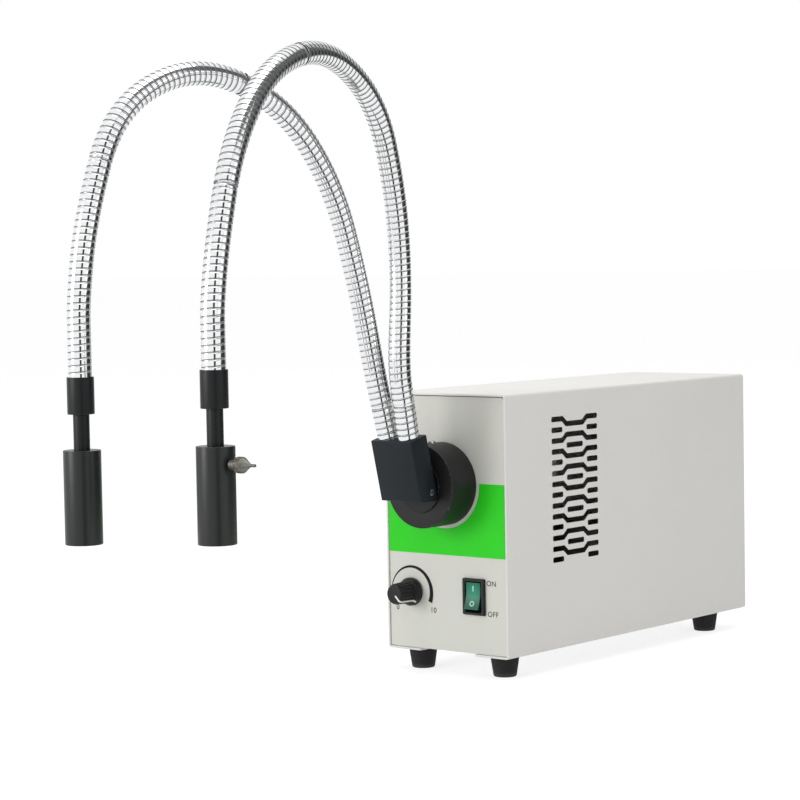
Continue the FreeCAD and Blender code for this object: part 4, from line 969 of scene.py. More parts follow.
@dataclass(frozen=True)
class Rubber(Finish):
    """Moulded rubber: dull, with bloom in patches and dust caught low down."""

    dust: Colour = (0.2, 0.19, 0.175)

    def paint(self, shader: Shader) -> None:
        """Writes the nodes.

        Args:
            shader: The material's tree.
        """
        pores = shader.noise(0.3, 3)
        bloom = shader.step(shader.noise(4, 3), 0.45, 0.75)
        low = 1.0 - shader.step(shader.place.part(2), 0.0, 3.5 * MM)
        tone = shader.mix(bloom * 0.5, self.colour, self.shade(1.9))
        shader.set(
            Base_Color=shader.mix(low * pores * 0.5, tone, self.dust),
            Roughness=self.roughness + pores * 0.12,
            Specular_IOR_Level=0.35,
        )
        shader.bump(pores, 0.03, 0.7)


@dataclass(frozen=True)
class LitPlastic(Finish):
    """Tinted clear plastic with a lamp behind it: brightest opposite the lamp."""

    glow: float = 0.15
    centre: Colour = (0.0, 0.0, 0.0)
    reach: float = 9.0
    half_width: float = 5.2

    def paint(self, shader: Shader) -> None:
        """Writes the nodes.

        Args:
            shader: The material's tree.
        """
        offset = shader.vector("DISTANCE", shader.place, self.centre, 1)
        near = 1.0 - shader.step(offset, 0.0, self.reach * MM)
        inputs = {"Vector": shader.place, "Scale": 260.0, "Distortion": 0.4}
        ribs = shader.node("ShaderNodeTexWave", {"bands_direction": "X"}, inputs, "Fac")
        # Painted shade: the rocker's two flanks go nearly black.
        offside = (shader.place.part(0) - self.centre[0]).apply("ABSOLUTE")
        flank = shader.step(offside, (self.half_width - 0.2) * MM, self.half_width * MM)
        light = shader.mix(flank * 0.9, self.between(shader, near, 0.45, 1.3), (0, 0, 0))
        shader.set(
            Base_Color=shader.mix(ribs * 0.25, light, self.shade(0.5)),
            Roughness=self.roughness + shader.noise(0.8) * 0.08,
            Emission_Color=light,
            Emission_Strength=self.glow,
            Specular_IOR_Level=0.3,
            Coat_Weight=0.15,
            Coat_Roughness=0.15,
        )
        shader.bump(ribs, 0.01, 0.3)


@dataclass(frozen=True)
class Glass(Finish):
    """Clear or tinted glass with a trace of dust."""

    index: float = 1.5

    def paint(self, shader: Shader) -> None:
        """Writes the nodes.

        Args:
            shader: The material's tree.
        """
        dust = shader.step(shader.noise(0.4, 3), 0.6, 0.8)
        shader.set(
            Base_Color=shader.mix(dust * 0.2, self.colour, self.shade(0.9)),
            Roughness=self.roughness + dust * 0.1,
            Transmission_Weight=1.0,
            IOR=self.index,
        )
        shader.bump(shader.noise(3, 1), 0.002, 0.3)


@dataclass(frozen=True)
class FibreFace(Finish):
    """The polished end of a bundle: a packed field of bright fibres in dark cement."""

    cement: Colour = (0.05, 0.045, 0.04)

    def paint(self, shader: Shader) -> None:
        """Writes the nodes.

        Args:
            shader: The material's tree.
        """
        fibre = shader.cells(0.25)
        face = self.between(shader, shader.cells(0.25, "Color").part(0), 0.8, 1.1)
        gap = shader.step(fibre, 0.35, 0.6)
        shader.set(
            Base_Color=shader.mix(gap, face, self.cement),
            Roughness=self.roughness + gap * 0.4,
            Coat_Weight=0.6,
        )
        shader.bump(1.0 - fibre, 0.01, 0.5)


@dataclass(frozen=True)
class PrintedInk(Finish):
    """Thick screen ink with soft edges to its pigment."""

    def paint(self, shader: Shader) -> None:
        """Writes the nodes.

        Args:
            shader: The material's tree.
        """
        grain = shader.noise(0.2)
        thin = shader.step(shader.noise(1.2, 3), 0.6, 0.85)
        shader.set(
            Base_Color=shader.mix(thin * 0.25, self.colour, self.shade(1.6)),
            Roughness=self.roughness + grain * 0.15,
            Specular_IOR_Level=0.25,
        )
        shader.bump(grain, 0.01, 0.4)


@dataclass(frozen=True)
class Laminations(Finish):
    """Varnished steel laminations, seen as fine lines across the stack."""

    pitch: float = 0.5
    rust: Colour = (0.16, 0.07, 0.03)

    def paint(self, shader: Shader) -> None:
        """Writes the nodes.

        Args:
            shader: The material's tree.
        """
        phase = (shader.place.part(1) / (self.pitch * MM)).apply("FRACT")
        gap = 1.0 - shader.step((phase - 0.5).apply("ABSOLUTE"), 0.0, 0.12)
        rusty = shader.step(shader.noise(5, 4), 0.55, 0.75)
        tone = shader.mix(rusty * 0.5, self.colour, self.rust)
        shader.set(
            Base_Color=shader.mix(gap, tone, self.shade(0.3)),
            Roughness=self.roughness + rusty * 0.25,
            Metallic=0.7,
            Coat_Weight=0.25,
        )
        shader.bump(1.0 - gap, 0.08, 0.7)


@dataclass(frozen=True)
class WoundTape(Finish):
    """A coil wrapped in overlapping tape."""

    pitch: float = 9.0
    lean: float = 0.12

    def paint(self, shader: Shader) -> None:
        """Writes the nodes.

        Args:
            shader: The material's tree.
        """
        along = shader.place.part(2) + shader.place.part(0) * self.lean
        phase = (along / (self.pitch * MM)).apply("FRACT")
        lap = 1.0 - shader.step(phase, 0.0, 0.1)
        wrinkle = shader.noise(2.5, 3, (0.3, 1, 1))
        tone = self.between(shader, wrinkle, 0.85, 1.1)
        shader.set(
            Base_Color=shader.mix(lap * 0.6, tone, self.shade(0.5)),
            Roughness=self.roughness + wrinkle * 0.15,
            Coat_Weight=0.3,
        )
        shader.bump(phase * 0.6 + wrinkle * 0.4, 0.12, 0.6)


@dataclass(frozen=True)
class SolderMask(Finish):
    """A circuit board's lacquer over its copper tracks."""

    def paint(self, shader: Shader) -> None:
        """Writes the nodes.

        Args:
            shader: The material's tree.
        """
        inputs = {"Vector": shader.place, "Scale": 180.0, "Mortar Size": 0.06}
        settings = {"offset": 0.3, "squash": 0.6}
        track = shader.node("ShaderNodeTexBrick", settings, inputs, "Fac")
        shader.set(
            Base_Color=shader.mix(track, self.colour, self.shade(2.2)),
            Roughness=self.roughness + shader.noise(0.4, 1) * 0.1,
            Coat_Weight=0.5,
        )
        shader.bump(track, 0.04, 0.6)


@dataclass(frozen=True)
class MirrorBowl(Finish):
    """A glass reflector with its facets and a dichroic tint."""

    tint: Colour = (0.85, 0.72, 0.9)

    def paint(self, shader: Shader) -> None:
        """Writes the nodes.

        Args:
            shader: The material's tree.
        """
        facet = shader.cells(2.6)
        shader.set(
            Base_Color=shader.mix(shader.noise(8), self.colour, self.tint),
            Roughness=self.roughness + facet * 0.08,
            Metallic=0.85,
        )
        shader.bump(facet, 0.15, 0.6)


COVER_PAINT = PowderCoat("cover_powder", (0.80, 0.79, 0.76), 0.46)
PANEL_PAINT = PowderCoat("panel_powder", (0.70, 0.70, 0.64), 0.5, peel=0.8)
# Near black for the vents' walls: painted shade inside the slots.
SLOT_SHADE = PowderCoat("slot_edge", (0.035, 0.035, 0.034), 0.6)
GREEN_FILM = PrintedFilm("green_film", (0.025, 0.70, 0.012), 0.45)
COLLAR_BLACK = Anodised("collar_black", (0.010, 0.010, 0.011), 0.42, (0.02, 1.0, 0.02))
BLOCK_BLACK = Anodised("block_black", (0.007, 0.011, 0.015), 0.44, (0.03, 1.0, 1.0), sheen=0.24)
FERRULE_BLACK = Anodised("ferrule_black", (0.006, 0.007, 0.008), 0.34)
BARREL_GREY = Anodised("barrel_grey", (0.005, 0.008, 0.006), 0.3, sheen=0.5)
HOSE_CHROME = WoundSteel("strip_chrome", (0.88, 0.89, 0.90), 0.03)
SCREW_STEEL = Metal("screw_steel", (0.55, 0.56, 0.58), 0.28)
THUMB_NICKEL = Metal("thumb_nickel", (0.23, 0.225, 0.205), 0.5)
THUMB_BRASS = Metal("thumb_brass", (0.125, 0.10, 0.062), 0.5)
PLUG_STEEL = Metal("plug_steel", (0.58, 0.58, 0.60), 0.25)
POT_ZINC = Metal("pot_zinc", (0.52, 0.52, 0.50), 0.35)
STANDOFF_BRASS = Metal("standoff_brass", (0.66, 0.47, 0.22), 0.3)
PIN_NICKEL = Metal("pin_nickel", (0.70, 0.66, 0.56), 0.22)
SINK_BLACK = Anodised("sink_black", (0.045, 0.045, 0.05), 0.45, (1.0, 0.03, 1.0))
CHASSIS_ZINC = Spangle("chassis_zinc", (0.62, 0.64, 0.66), 0.32)
KNOB_BLACK = Moulding("knob_plastic", (0.007, 0.007, 0.008), 0.34)
SWITCH_BLACK = Moulding("switch_plastic", (0.012, 0.013, 0.014), 0.42)
INLET_BLACK = Moulding("inlet_black", (0.020, 0.020, 0.021), 0.48, grain=0.4)
FAN_BLACK = Moulding("fan_black", (0.024, 0.024, 0.026), 0.5, grain=0.5)
CERAMIC = Moulding("ceramic_white", (0.74, 0.73, 0.68), 0.3, grain=0.8)
FOOT_RUBBER = Rubber("foot_compound", (0.010, 0.010, 0.011), 0.68)
WHITE_INK = PrintedInk("white_ink", (0.80, 0.80, 0.79), 0.45)
MARK_INK = PrintedInk("mark_ink", (0.55, 0.86, 0.80), 0.4)
BLACK_INK = PrintedInk("black_ink", (0.006, 0.007, 0.007), 0.6)
GREY_INK = PrintedInk("grey_ink", (0.012, 0.012, 0.013), 0.6)
LENS_GLASS = Glass("lens_glass", (0.95, 0.98, 1.0), 0.02, index=1.52)
FILTER_GLASS = Glass("filter_glass", (0.72, 0.90, 0.84), 0.03)
FUSE_GLASS = Glass("fuse_glass", (0.93, 0.95, 0.95), 0.05)
FIBRE_FACE = FibreFace("fibre_face", (0.80, 0.76, 0.62), 0.25)
CORE_STEEL = Laminations("core_steel", (0.10, 0.095, 0.09), 0.4)
COIL_TAPE = WoundTape("winding_tape", (0.05, 0.038, 0.02), 0.4)
BOARD_GREEN = SolderMask("board_green", (0.012, 0.11, 0.035), 0.35)
LAMP_MIRROR = MirrorBowl("lamp_mirror", (0.75, 0.78, 0.85), 0.08)


def dress(frame: dict[str, Any], *pairs: tuple[str, Finish]) -> None:
    """Gives solids of the frame their finishes; their own shapes stay.

    Args:
        *pairs: A node's name and its finish, for each.
    """
    for node, finish in pairs:
        mesh = frame["nodes"][node].data
        mesh.materials.clear()
        mesh.materials.append(finish.material())
        for face in mesh.polygons:
            face.material_index = 0
        LOG.info("%s: %s", node, finish.name)


# -------------------------------- repeated pieces


# One turn of the wound strip, from seam to seam: where its rows lie, how far each phase of it is
# sunk, and how much painted shade darkens it in the seam. The land is flat between the two walls of
# the seam.
STRIP_ROWS = (0.0, 0.08, 0.1, 0.13, 0.17, 0.2, 0.215, 0.5, 0.832, 0.85, 0.868, 0.9, 1.0)
STRIP_SUNK = (
    (0.0, 1.0), (0.08, 1.0), (0.1, 0.92), (0.13, 0.6), (0.17, 0.15), (0.2, 0.0), (0.85, 0.0),
    (0.868, 0.4), (0.9, 1.0), (1.0, 1.0),
)
STRIP_SEAM_SHADE = (
    (0.0, 0.2), (0.08, 0.35), (0.1, 0.2), (0.13, 0.0), (0.832, 0.0), (0.85, 0.6), (0.868, 1.0),
    (0.9, 1.0), (0.94, 0.3), (1.0, 0.2),
)
CROWN_START = 0.35


def helix_recipe() -> Recipe:
    """The tree that winds a strip along a line: flat lands with a helical seam between turns.

    Returns:
        The tree. Its line is a curve, and it winds from Start to End along it.
    """
    recipe = Recipe("wound_hose")
    line, across, start, end, pitch, radius, depth, crown, sides, steps, finish = recipe.ask(
        Line="object", Across="vector", Start="float", End="float", Pitch="float",
        Radius="float", Seam_Depth="float", Crown="float", Sides="int", Steps="int",
        Finish="material",
    )
    rows = (((end - start) / pitch).apply("CEIL") + 2.0) * steps + 1.0
    sheet = recipe.node("GeometryNodeMeshGrid", {}, {
        "Size X": 1.0, "Size Y": 1.0, "Vertices X": rows, "Vertices Y": sides + 1.0,
    })
    spot = recipe.node("GeometryNodeInputPosition")
    lap = spot.part(1) + 0.5
    turn = ((spot.part(0) + 0.5) * (rows - 1.0)).apply("ROUND") / steps
    whole = (turn + 0.0001).apply("FLOOR")
    last = len(STRIP_ROWS) - 1
    share = recipe.ramp(turn - whole, [(i / last, value) for i, value in enumerate(STRIP_ROWS)])

    base = (start / pitch).apply("FLOOR") * pitch - pitch
    along = (base + (whole + share + lap) * pitch).at_least(start).at_most(end)
    phase = (along / pitch - lap + 2.0).apply("FRACT")
    from_seam = phase.at_most(1.0 - phase) * 2.0
    fall = (1.0 - CROWN_START) - (from_seam - CROWN_START).at_least(0.0)
    reach = radius - recipe.ramp(phase, STRIP_SUNK) * depth - fall * fall * crown

    settings = {"mode": "LENGTH", "use_all_curves": False}
    inputs = {"Curves": recipe.model(line), "Length": along}
    middle = recipe.node("GeometryNodeSampleCurve", settings, inputs, "Position")
    upright = recipe.vector("CROSS_PRODUCT", middle.sibling("Tangent"), across)
    angle = lap * (2 * math.pi)
    sideways = recipe.vector("SCALE", across, reach * angle.apply("COSINE"))
    upwards = recipe.vector("SCALE", upright, reach * angle.apply("SINE"))
    point = recipe.vector("ADD", middle, recipe.vector("ADD", sideways, upwards))
    # The stored seam value is painted shade, which the finish uses to darken the colour.
    kept = recipe.node(
        "GeometryNodeStoreNamedAttribute", {"data_type": "FLOAT", "domain": "POINT"},
        {"Geometry": sheet, "Name": "seam", "Value": recipe.ramp(phase, STRIP_SEAM_SHADE)},
    )
    placed = recipe.node("GeometryNodeSetPosition", {}, {"Geometry": kept, "Position": point})
    inputs = {"Geometry": placed, "Distance": 1e-6}
    recipe.serve(recipe.node("GeometryNodeMergeByDistance", {}, inputs), finish)
    return recipe


def ring_recipe() -> Recipe:
    """The tree that sets copies of one shape evenly round an axis.

    Returns:
        The tree.
    """
    recipe = Recipe("copies_round_axis")
    shape, count, radius, finish = recipe.ask(
        Shape="object", Count="int", Radius="float", Finish="material"
    )
    inputs = {"Vertices": count, "Radius": radius}
    circle = recipe.node("GeometryNodeMeshCircle", {"fill_type": "NONE"}, inputs)
    inputs = {"Vector": recipe.node("GeometryNodeInputPosition")}
    facing = recipe.node("FunctionNodeAlignRotationToVector", {"axis": "X"}, inputs)
    recipe.spread(shape, circle, facing, finish)
    return recipe


def places_recipe() -> Recipe:
    """The tree that sets a copy of one shape at each point, each turned by a chance angle.

    Returns:
        The tree.
    """
    recipe = Recipe("copies_at_places")
    shape, places, seed, finish = recipe.ask(
        Shape="object", Places="object", Seed="int", Finish="material"
    )
    inputs = {"Min": 0.0, "Max": math.pi, "Seed": seed}
    chance = recipe.node("FunctionNodeRandomValue", {"data_type": "FLOAT"}, inputs, 1)
    spin = recipe.node("ShaderNodeCombineXYZ", {}, {"Z": chance})
    recipe.spread(shape, recipe.model(places), spin, finish)
    return recipe


# -------------------------------- the object's own places


def at(x: float, y: float, z: float) -> Vector:
    """A point in millimetres from the middle of the cover's front lower edge."""
    return Vector((x, y + COVER_FRONT, z + FEET_HEIGHT)) * MM


def of_panel(x: float, z: float, proud: float = 0.0) -> Vector:
    """A point on the front panel, or in front of it, in millimetres."""
    return at(x, PANEL_FACE - proud, z)


def lettering(text: str, middle: Vector, height: float) -> Thing:
    """Raised ink letters on the front panel.

    Args:
        text: The letters or numbers.
        middle: The middle of the text on the panel.
        height: Height of the capitals.

    Returns:
        The letters as a mesh.
    """
    curve = bpy.data.curves.new("letters", "FONT")
    curve.body = text
    curve.size = height * MM / 0.7
    curve.align_x, curve.align_y = "CENTER", "CENTER"
    curve.extrude = curve.offset = 0.03 * MM
    curve.space_character = 1.05
    curve.resolution_u = 6
    thing = link("letters", curve)
    mesh = evaluated_mesh(thing)
    drop(thing)
    work = bmesh.new()
    work.from_mesh(mesh)
    work.transform(Matrix.Translation(middle) @ Matrix.Rotation(math.pi / 2, 4, "X"))
    return finish_mesh(f"mark_{text.lower()}", work, GREY_INK)


# -------------------------------- lamp housing


@dataclass
class Cover:
    """The bent sheet cover with its interlaced vents."""

    width: float = 88.0
    height: float = 150.0
    length: float = 253.0
    sheet: float = 1.2
    bend: float = 2.0
    lip: float = 24.0
    slot: float = 3.1
    slot_corner: float = 1.15
    rows: int = 14
    row_pitch: float = 6.26
    top_row: float = 133.4
    front: float = 44.2
    end_slot: float = 10.7
    step: float = 4.0
    middle: float = 16.2
    hole: float = 1.7

    def build(self) -> None:
        """Bends the sheet and cuts the vents and the foot screws' holes."""
        tools = [self.vents(side) for side in Side]
        tools += [bar(at(x, y, -2.0), UP, self.hole, 5.0, sides=24) for x, y in FOOT_PLACES]
        # The vents' walls keep the slots' near-black finish: painted shade in the vents.
        settle(cut(self.bent_sheet(), *tools, keep=True), "case", "cover_paint", "cover")

    def bent_sheet(self) -> Thing:
        """Folds the sheet, with its raw edges slightly rounded.

        Returns:
            The sheet without its holes.
        """
        half, thick, high = self.width / 2, self.sheet, self.height
        inner, lip = half - thick, half - self.lip
        path = [(lip, 0.0), (half, 0.0), (half, high), (-half, high), (-half, 0.0), (-lip, 0.0)]
        back = [(-lip, thick), (-inner, thick), (-inner, high - thick), (inner, high - thick),
                (inner, thick), (lip, thick)]
        outline = softened(path, self.bend, 8) + softened(back, self.bend - thick, 8)
        work = bmesh.new()
        ends = closed_skin(work, [[at(x, y, z) for x, z, _ in outline] for y in (0, self.length)])
        bmesh.ops.recalc_face_normals(work, faces=work.faces)
        rims = list({edge for face in ends for edge in face.edges})
        bmesh.ops.bevel(work, geom=rims, offset=0.2 * MM, segments=2, profile=0.5, affect="EDGES")
        return finish_mesh("bent_cover", work, COVER_PAINT)

    def paths(self) -> list[list[Pair]]:
        """The slots' middle lines, whose middle runs step half a pitch down or up by rows.

        Returns:
            The lines on one side, as (y, z).
        """
        front_in = self.front + self.end_slot
        start = front_in + self.step
        end = start + self.middle
        rear_in = end + self.step
        rear = rear_in + self.end_slot
        half_pitch = self.row_pitch / 2
        made = []
        for row in range(self.rows):
            level = self.top_row - row * self.row_pitch
            ends = [[(self.front, level), (front_in, level)], [(rear_in, level), (rear, level)]]
            if row % 3 == 1:
                made += ends
                continue
            shifted = level - half_pitch if row % 3 == 0 else level + half_pitch
            made.append([*ends[0], (start, shifted), (end, shifted), *ends[1]])
            if row % 3 == 2 and row < self.rows - 1:
                made.append([(start, level - half_pitch), (end, level - half_pitch)])
        return made

    def vents(self, side: Side) -> Thing:
        """Makes the closed shapes that are taken out for one side's slots.

        Args:
            side: The side of the cover.

        Returns:
            The shapes in one object.
        """
        work = bmesh.new()
        outer, inner = self.width / 2 + 2.0, self.width / 2 - 4.0
        for path in self.paths():
            outline = self.band(path)
            rounded = softened([*outline, *outline[:2]], self.slot_corner)[1:-1]
            closed_skin(
                work, [[at(side.value * x, y, z) for y, z, _ in rounded] for x in (outer, inner)]
            )
        # Painted shade: the slots' walls come out near black.
        return finish_mesh("slots", work, SLOT_SHADE)

    def band(self, path: Outline) -> list[Pair]:
        """Gives a line its width.

        Args:
            path: The middle line of a slot.

        Returns:
            The slot's outline.
        """
        points = [Vector(point) for point in path]
        runs = [(after - before).normalized() for before, after in zip(points, points[1:])]
        sides: tuple[list, list] = ([], [])
        for point, before, after in zip(points, runs[:1] + runs, runs + runs[-1:]):
            normal = Vector((-before.y - after.y, before.x + after.x))
            normal *= self.slot / 2 / (1 + before.dot(after))
            sides[0].append(tuple(point + normal))
            sides[1].append(tuple(point - normal))
        return sides[0] + sides[1][::-1]


@dataclass
class Housing:
    """The sheet-metal case on its rubber feet, with its screws."""

    foot_top: float = 8.5
    foot_bottom: float = 6.6
    recess: float = 3.6
    recess_depth: float = 5.0
    screw_head: float = 2.8
    screw_shank: float = 1.5
    screw_length: float = 5.0
    screw_rise: float = 2.0
    cross: Triple = (3.0, 0.7, 1.8)
    rear_face: float = 252.2
    rear_places: Outline = ((-25, 83), (25, 83), (-25, 133), (25, 133), (-30, 8), (30, 8))
    feet_seed: int = 4
    foot_screw_seed: int = 7
    rear_screw_seed: int = 11

    def build(self, frame: dict[str, Any]) -> None:
        """Makes the cover, dresses the other sheets, then makes the feet and the screws.
        """
        Cover().build()
        dress(
            frame, ("rear_panel", COVER_PAINT), ("front_panel", PANEL_PAINT),
            ("chassis", CHASSIS_ZINC), ("green_band", GREEN_FILM), ("lamp_bracket", CHASSIS_ZINC),
        )
        copies = places_recipe()
        foot = turned(
            "foot",
            [
                (0, self.recess_depth), (self.recess, self.recess_depth), (self.recess, 0),
                (self.foot_bottom, 0), (self.foot_top, FEET_HEIGHT), (0, FEET_HEIGHT),
            ],
            Vector(), UP, FOOT_RUBBER, edge=1.1, sides=64,
        )
        places = [at(x, y, -FEET_HEIGHT) for x, y in FOOT_PLACES]
        feet = self.spread(copies, "rubber_feet", foot, FOOT_RUBBER, places, STILL, self.feet_seed)
        settle(feet, "case", "foot_rubber", "feet")

        screw = self.screw()
        head_down = Matrix.Rotation(math.pi, 4, "X")
        seat = self.recess_depth - FEET_HEIGHT
        under = [at(x, y, seat) for x, y in FOOT_PLACES]
        head_back = Matrix(((-1, 0, 0, 0), (0, 0, 1, 0), (0, 1, 0, 0), (0, 0, 0, 1)))
        behind = [at(x, self.rear_face, z) for x, z in self.rear_places]
        for name, node, spots, turn, seed in (
            ("foot_screw_set", "foot_screws", under, head_down, self.foot_screw_seed),
            ("rear_screw_set", "rear_screws", behind, head_back, self.rear_screw_seed),
        ):
            screws = self.spread(copies, name, screw, SCREW_STEEL, spots, turn, seed)
            settle(screws, "case", "screw_steel", node)
        drop(foot, screw)

    def spread(
        self,
        copies: Recipe,
        name: str,
        shape: Thing,
        finish: Finish,
        places: Sequence[Vector],
        turn: Matrix,
        seed: int,
    ) -> Thing:
        """Sets a copy of a shape at each place, spun by chance about its own axis.

        Args:
            copies: The tree that sets them.
            name: The name of the object that holds them.
            shape: The shape.
            finish: What the copies are dressed in.
            places: Where the copies' origins go.
            turn: The turn from the shape's own axis to where it points in place.
            seed: The seed of the chance angles.

        Returns:
            The copies in one object.
        """
        mesh = bpy.data.meshes.new("spots")
        back = turn.inverted()
        mesh.from_pydata([tuple(back @ place) for place in places], [], [])
        spots = link("spots", mesh)
        piece = copies.make(name, finish, Shape=shape, Places=spots, Seed=seed)
        piece.data.transform(turn)
        drop(spots)
        return piece

    def screw(self) -> Thing:
        """Makes a pan-head screw with a cross recess.

        Returns:
            The screw, with its head's seat at the origin.
        """
        outline = [
            (0, -self.screw_length), (self.screw_shank, -self.screw_length),
            (self.screw_shank, 0), (self.screw_head, 0), (self.screw_head, 0.9),
            (1.9, self.screw_rise), (0, self.screw_rise),
        ]
        shape = turned("screw", outline, Vector(), UP, SCREW_STEEL, edge=0.5, sides=32)
        top = UP * self.screw_rise * MM
        long, narrow, deep = self.cross
        return cut(shape, slab(top, (long, narrow, deep)), slab(top, (narrow, long, deep)))


@dataclass
class DialPrint:
    """What is printed on the lower panel: the dimmer's wedge with its numbers, and ON and OFF."""

    middle: Pair = (-26.0, 33.8)
    outer: float = 15.6
    start: float = 185.0
    end: float = -21.0
    thin: float = 0.25
    thick: float = 2.9
    steps: int = 72
    sunk: float = 0.02
    ink: float = 0.07
    numbers: Sequence[tuple[str, float, float]] = (("0", -37.0, 24.2), ("10", -10.4, 24.2))
    words: Sequence[tuple[str, float, float]] = (("ON", 31.9, 42.3), ("OFF", 32.9, 24.8))

    def build(self) -> None:
        """Prints the wedge, the numbers and the words."""
        settle(self.wedge(), "case", "")
        for name, height, marks in (
            ("dial_numbers", 3.1, self.numbers), ("switch_words", 3.0, self.words)
        ):
            letters = [lettering(text, of_panel(x, z), height) for text, x, z in marks]
            settle(joined(name, letters), "case", "")

    def wedge(self) -> Thing:
        """Makes the arc over the knob, which grows from a hair line to a broad band.

        Returns:
            The arc.
        """
        lift = FORWARD * self.ink * MM
        rows = []
        for index in range(self.steps + 1):
            share = index / self.steps
            angle = math.radians(self.start + (self.end - self.start) * share)
            breadth = self.thin + (self.thick - self.thin) * share
            inner, outer = (
                of_panel(
                    self.middle[0] + reach * math.cos(angle),
                    self.middle[1] + reach * math.sin(angle), -self.sunk,
                )
                for reach in (self.outer - breadth, self.outer)
            )
            rows.append([inner, outer, outer + lift, inner + lift])
        return lofted("dial_wedge", rows, BLACK_INK)


# -------------------------------- light port and block


@dataclass
class LightPort:
    """The collar on the panel, the sleeve in it and the screw that locks the guide."""

    height: float = 98.2
    radius: float = 24.0
    depth: float = 22.0
    bore: float = 10.05
    spigot: float = 14.0
    spigot_depth: float = 7.0
    rim: float = 0.7
    sleeve: float = 10.0
    sleeve_depth: float = 6.0
    flange: float = 15.0
    flange_gap: float = 0.3
    flange_sheet: float = 0.8
    guide_bore: float = 6.55
    lock_place: float = 11.0
    lock_radius: float = 2.5
    lock_slot: Triple = (8.0, 0.8, 2.4)

    def build(self, frame: dict[str, Any]) -> None:
        """Makes the collar, the sleeve and the lock screw.
        """
        centre = of_panel(PORT_LINE, self.height)
        outline = [
            (self.bore, -self.spigot_depth), (self.spigot, -self.spigot_depth), (self.spigot, 0),
            (self.radius, 0), (self.radius, self.depth), (self.bore, self.depth),
        ]
        collar = turned(
            "light_port_collar", outline, centre, FORWARD, COLLAR_BLACK, edge=self.rim, sides=160
        )
        seat = centre + FORWARD * self.lock_place * MM
        hole = bar(seat + UP * (self.bore + 1.0) * MM, UP, self.lock_radius + 0.1, self.radius)
        settle(cut(collar, hole), "case", "anodised_dark", "port_collar")
        near = self.depth + self.flange_gap
        far = near + self.flange_sheet
        outline = [
            (self.guide_bore, -self.sleeve_depth), (self.sleeve, -self.sleeve_depth),
            (self.sleeve, near), (self.flange, near), (self.flange, far), (self.guide_bore, far),
        ]
        sleeve = turned("guide_sleeve", outline, centre, FORWARD, FERRULE_BLACK, edge=0.2)
        settle(sleeve, "adapter", "adapter_metal", "port_adapter")
        self.lock_screw(seat)
        dress(frame, ("guide_plug", PLUG_STEEL), ("guide_bundle", FIBRE_FACE))

    def lock_screw(self, seat: Vector) -> None:
        """Makes the slotted screw in the top of the collar, as long as its solid.

        Args:
            seat: Where its axis meets the collar's axis.
        """
        low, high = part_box("port_lock_screw")
        top = (high.z - low.z) / MM
        outline = [(0, 0), (0.9, 0), (self.lock_radius, 1.6), (self.lock_radius, top), (0, top)]
        foot = Vector((seat.x, seat.y, low.z))
        piece = turned("lock_screw", outline, foot, UP, SCREW_STEEL, edge=0.35, sides=48)
        slot = slab(foot + UP * top * MM, self.lock_slot)
        settle(cut(piece, slot), "port_lock", "screw_steel", "port_lock_screw")


@dataclass
class GuideBlock:
    """The leaning block that splits the guide into its two arms."""

    width: float = 29.0
    outline: Outline = ((-22.6, 91.0), (-37.54, 91.0), (-46.13, 125.45), (-32.06, 128.95))
    edge: float = 0.45
    screw_place: Pair = (-27.43, 96.0)
    screw_radius: float = 2.0
    screw_length: float = 6.0
    screw_sunk: float = 0.25
    key: float = 1.15
    key_depth: float = 2.2

    def build(self) -> None:
        """Makes the block and its two set screws."""
        corners = [at(PORT_LINE - self.width / 2, y, z) for y, z in self.outline]
        block = plate("split_block", corners, RIGHT * self.width * MM, BLOCK_BLACK, self.edge)
        screws, holes = [], []
        for side in Side:
            face = at(PORT_LINE + side.value * self.width / 2, *self.screw_place)
            inward = RIGHT * -side.value
            hole_length = self.screw_length + 1.0
            holes.append(bar(face - inward * MM, inward, self.screw_radius, hole_length))
            screws.append(self.set_screw(face + inward * self.screw_sunk * MM, inward))
        settle(cut(block, *holes), "guide", "anodised_dark", "guide_block")
        settle(joined("block_screw_set", screws), "guide", "screw_steel", "block_screws")

    def set_screw(self, face: Vector, inward: Vector) -> Thing:
        """Makes one headless screw with a hexagon socket.

        Args:
            face: The middle of its outer face.
            inward: The direction it goes in.

        Returns:
            The screw.
        """
        radius, length = self.screw_radius - 0.05, self.screw_length - self.screw_sunk
        outline = [(0, 0), (radius, 0), (radius, length), (0, length)]
        screw = turned("set_screw", outline, face, inward, SCREW_STEEL, edge=0.25, sides=32)
        return cut(screw, bar(face - inward * MM, inward, self.key, self.key_depth + 1.0, sides=6))


# -------------------------------- arms


@dataclass(frozen=True)
class EndPart:
    """A lathe-turned piece at the end of an arm, on its axis."""

    name: str
    node: str
    slot: str
    finish: Finish
    outline: Outline
    edge: float
    sides: int = 96


# Outlines as (radius, distance from the piece's top or the screw's seat), in millimetres
LENS_DOME = tuple(
    (7.0 * math.cos(math.radians(turn)), 42.5 + 2.55 * math.sin(math.radians(turn)))
    for turn in (12, 26, 42, 58, 74)
)
STEM_PARTS = (
    EndPart("crimp_ferrule", "end_ferrule", "ferrule_black", FERRULE_BLACK,
            ((6.35, 0), (7, 0), (7, 19), (4.25, 19), (4.25, 9), (6.35, 8)), 0.35),
    EndPart("stem", "end_stem", "ferrule_black", FERRULE_BLACK,
            ((3.5, 10), (4.2, 10), (4.2, 51.4), (3.5, 51.4)), 0.25),
    EndPart("fibre_end", "fibre_tip", "fibre_glass", FIBRE_FACE,
            ((0, 8), (3.48, 8), (3.48, 51.3), (0, 51.3)), 0.1, 64),
)
BARREL = EndPart(
    "barrel", "lens_barrel", "barrel_anodised", BARREL_GREY,
    ((4.25, 0), (9.75, 0), (9.75, 48.5), (8, 48.5), (8, 40), (7, 40), (7, 18), (4.25, 18)),
    0.45, 128,
)
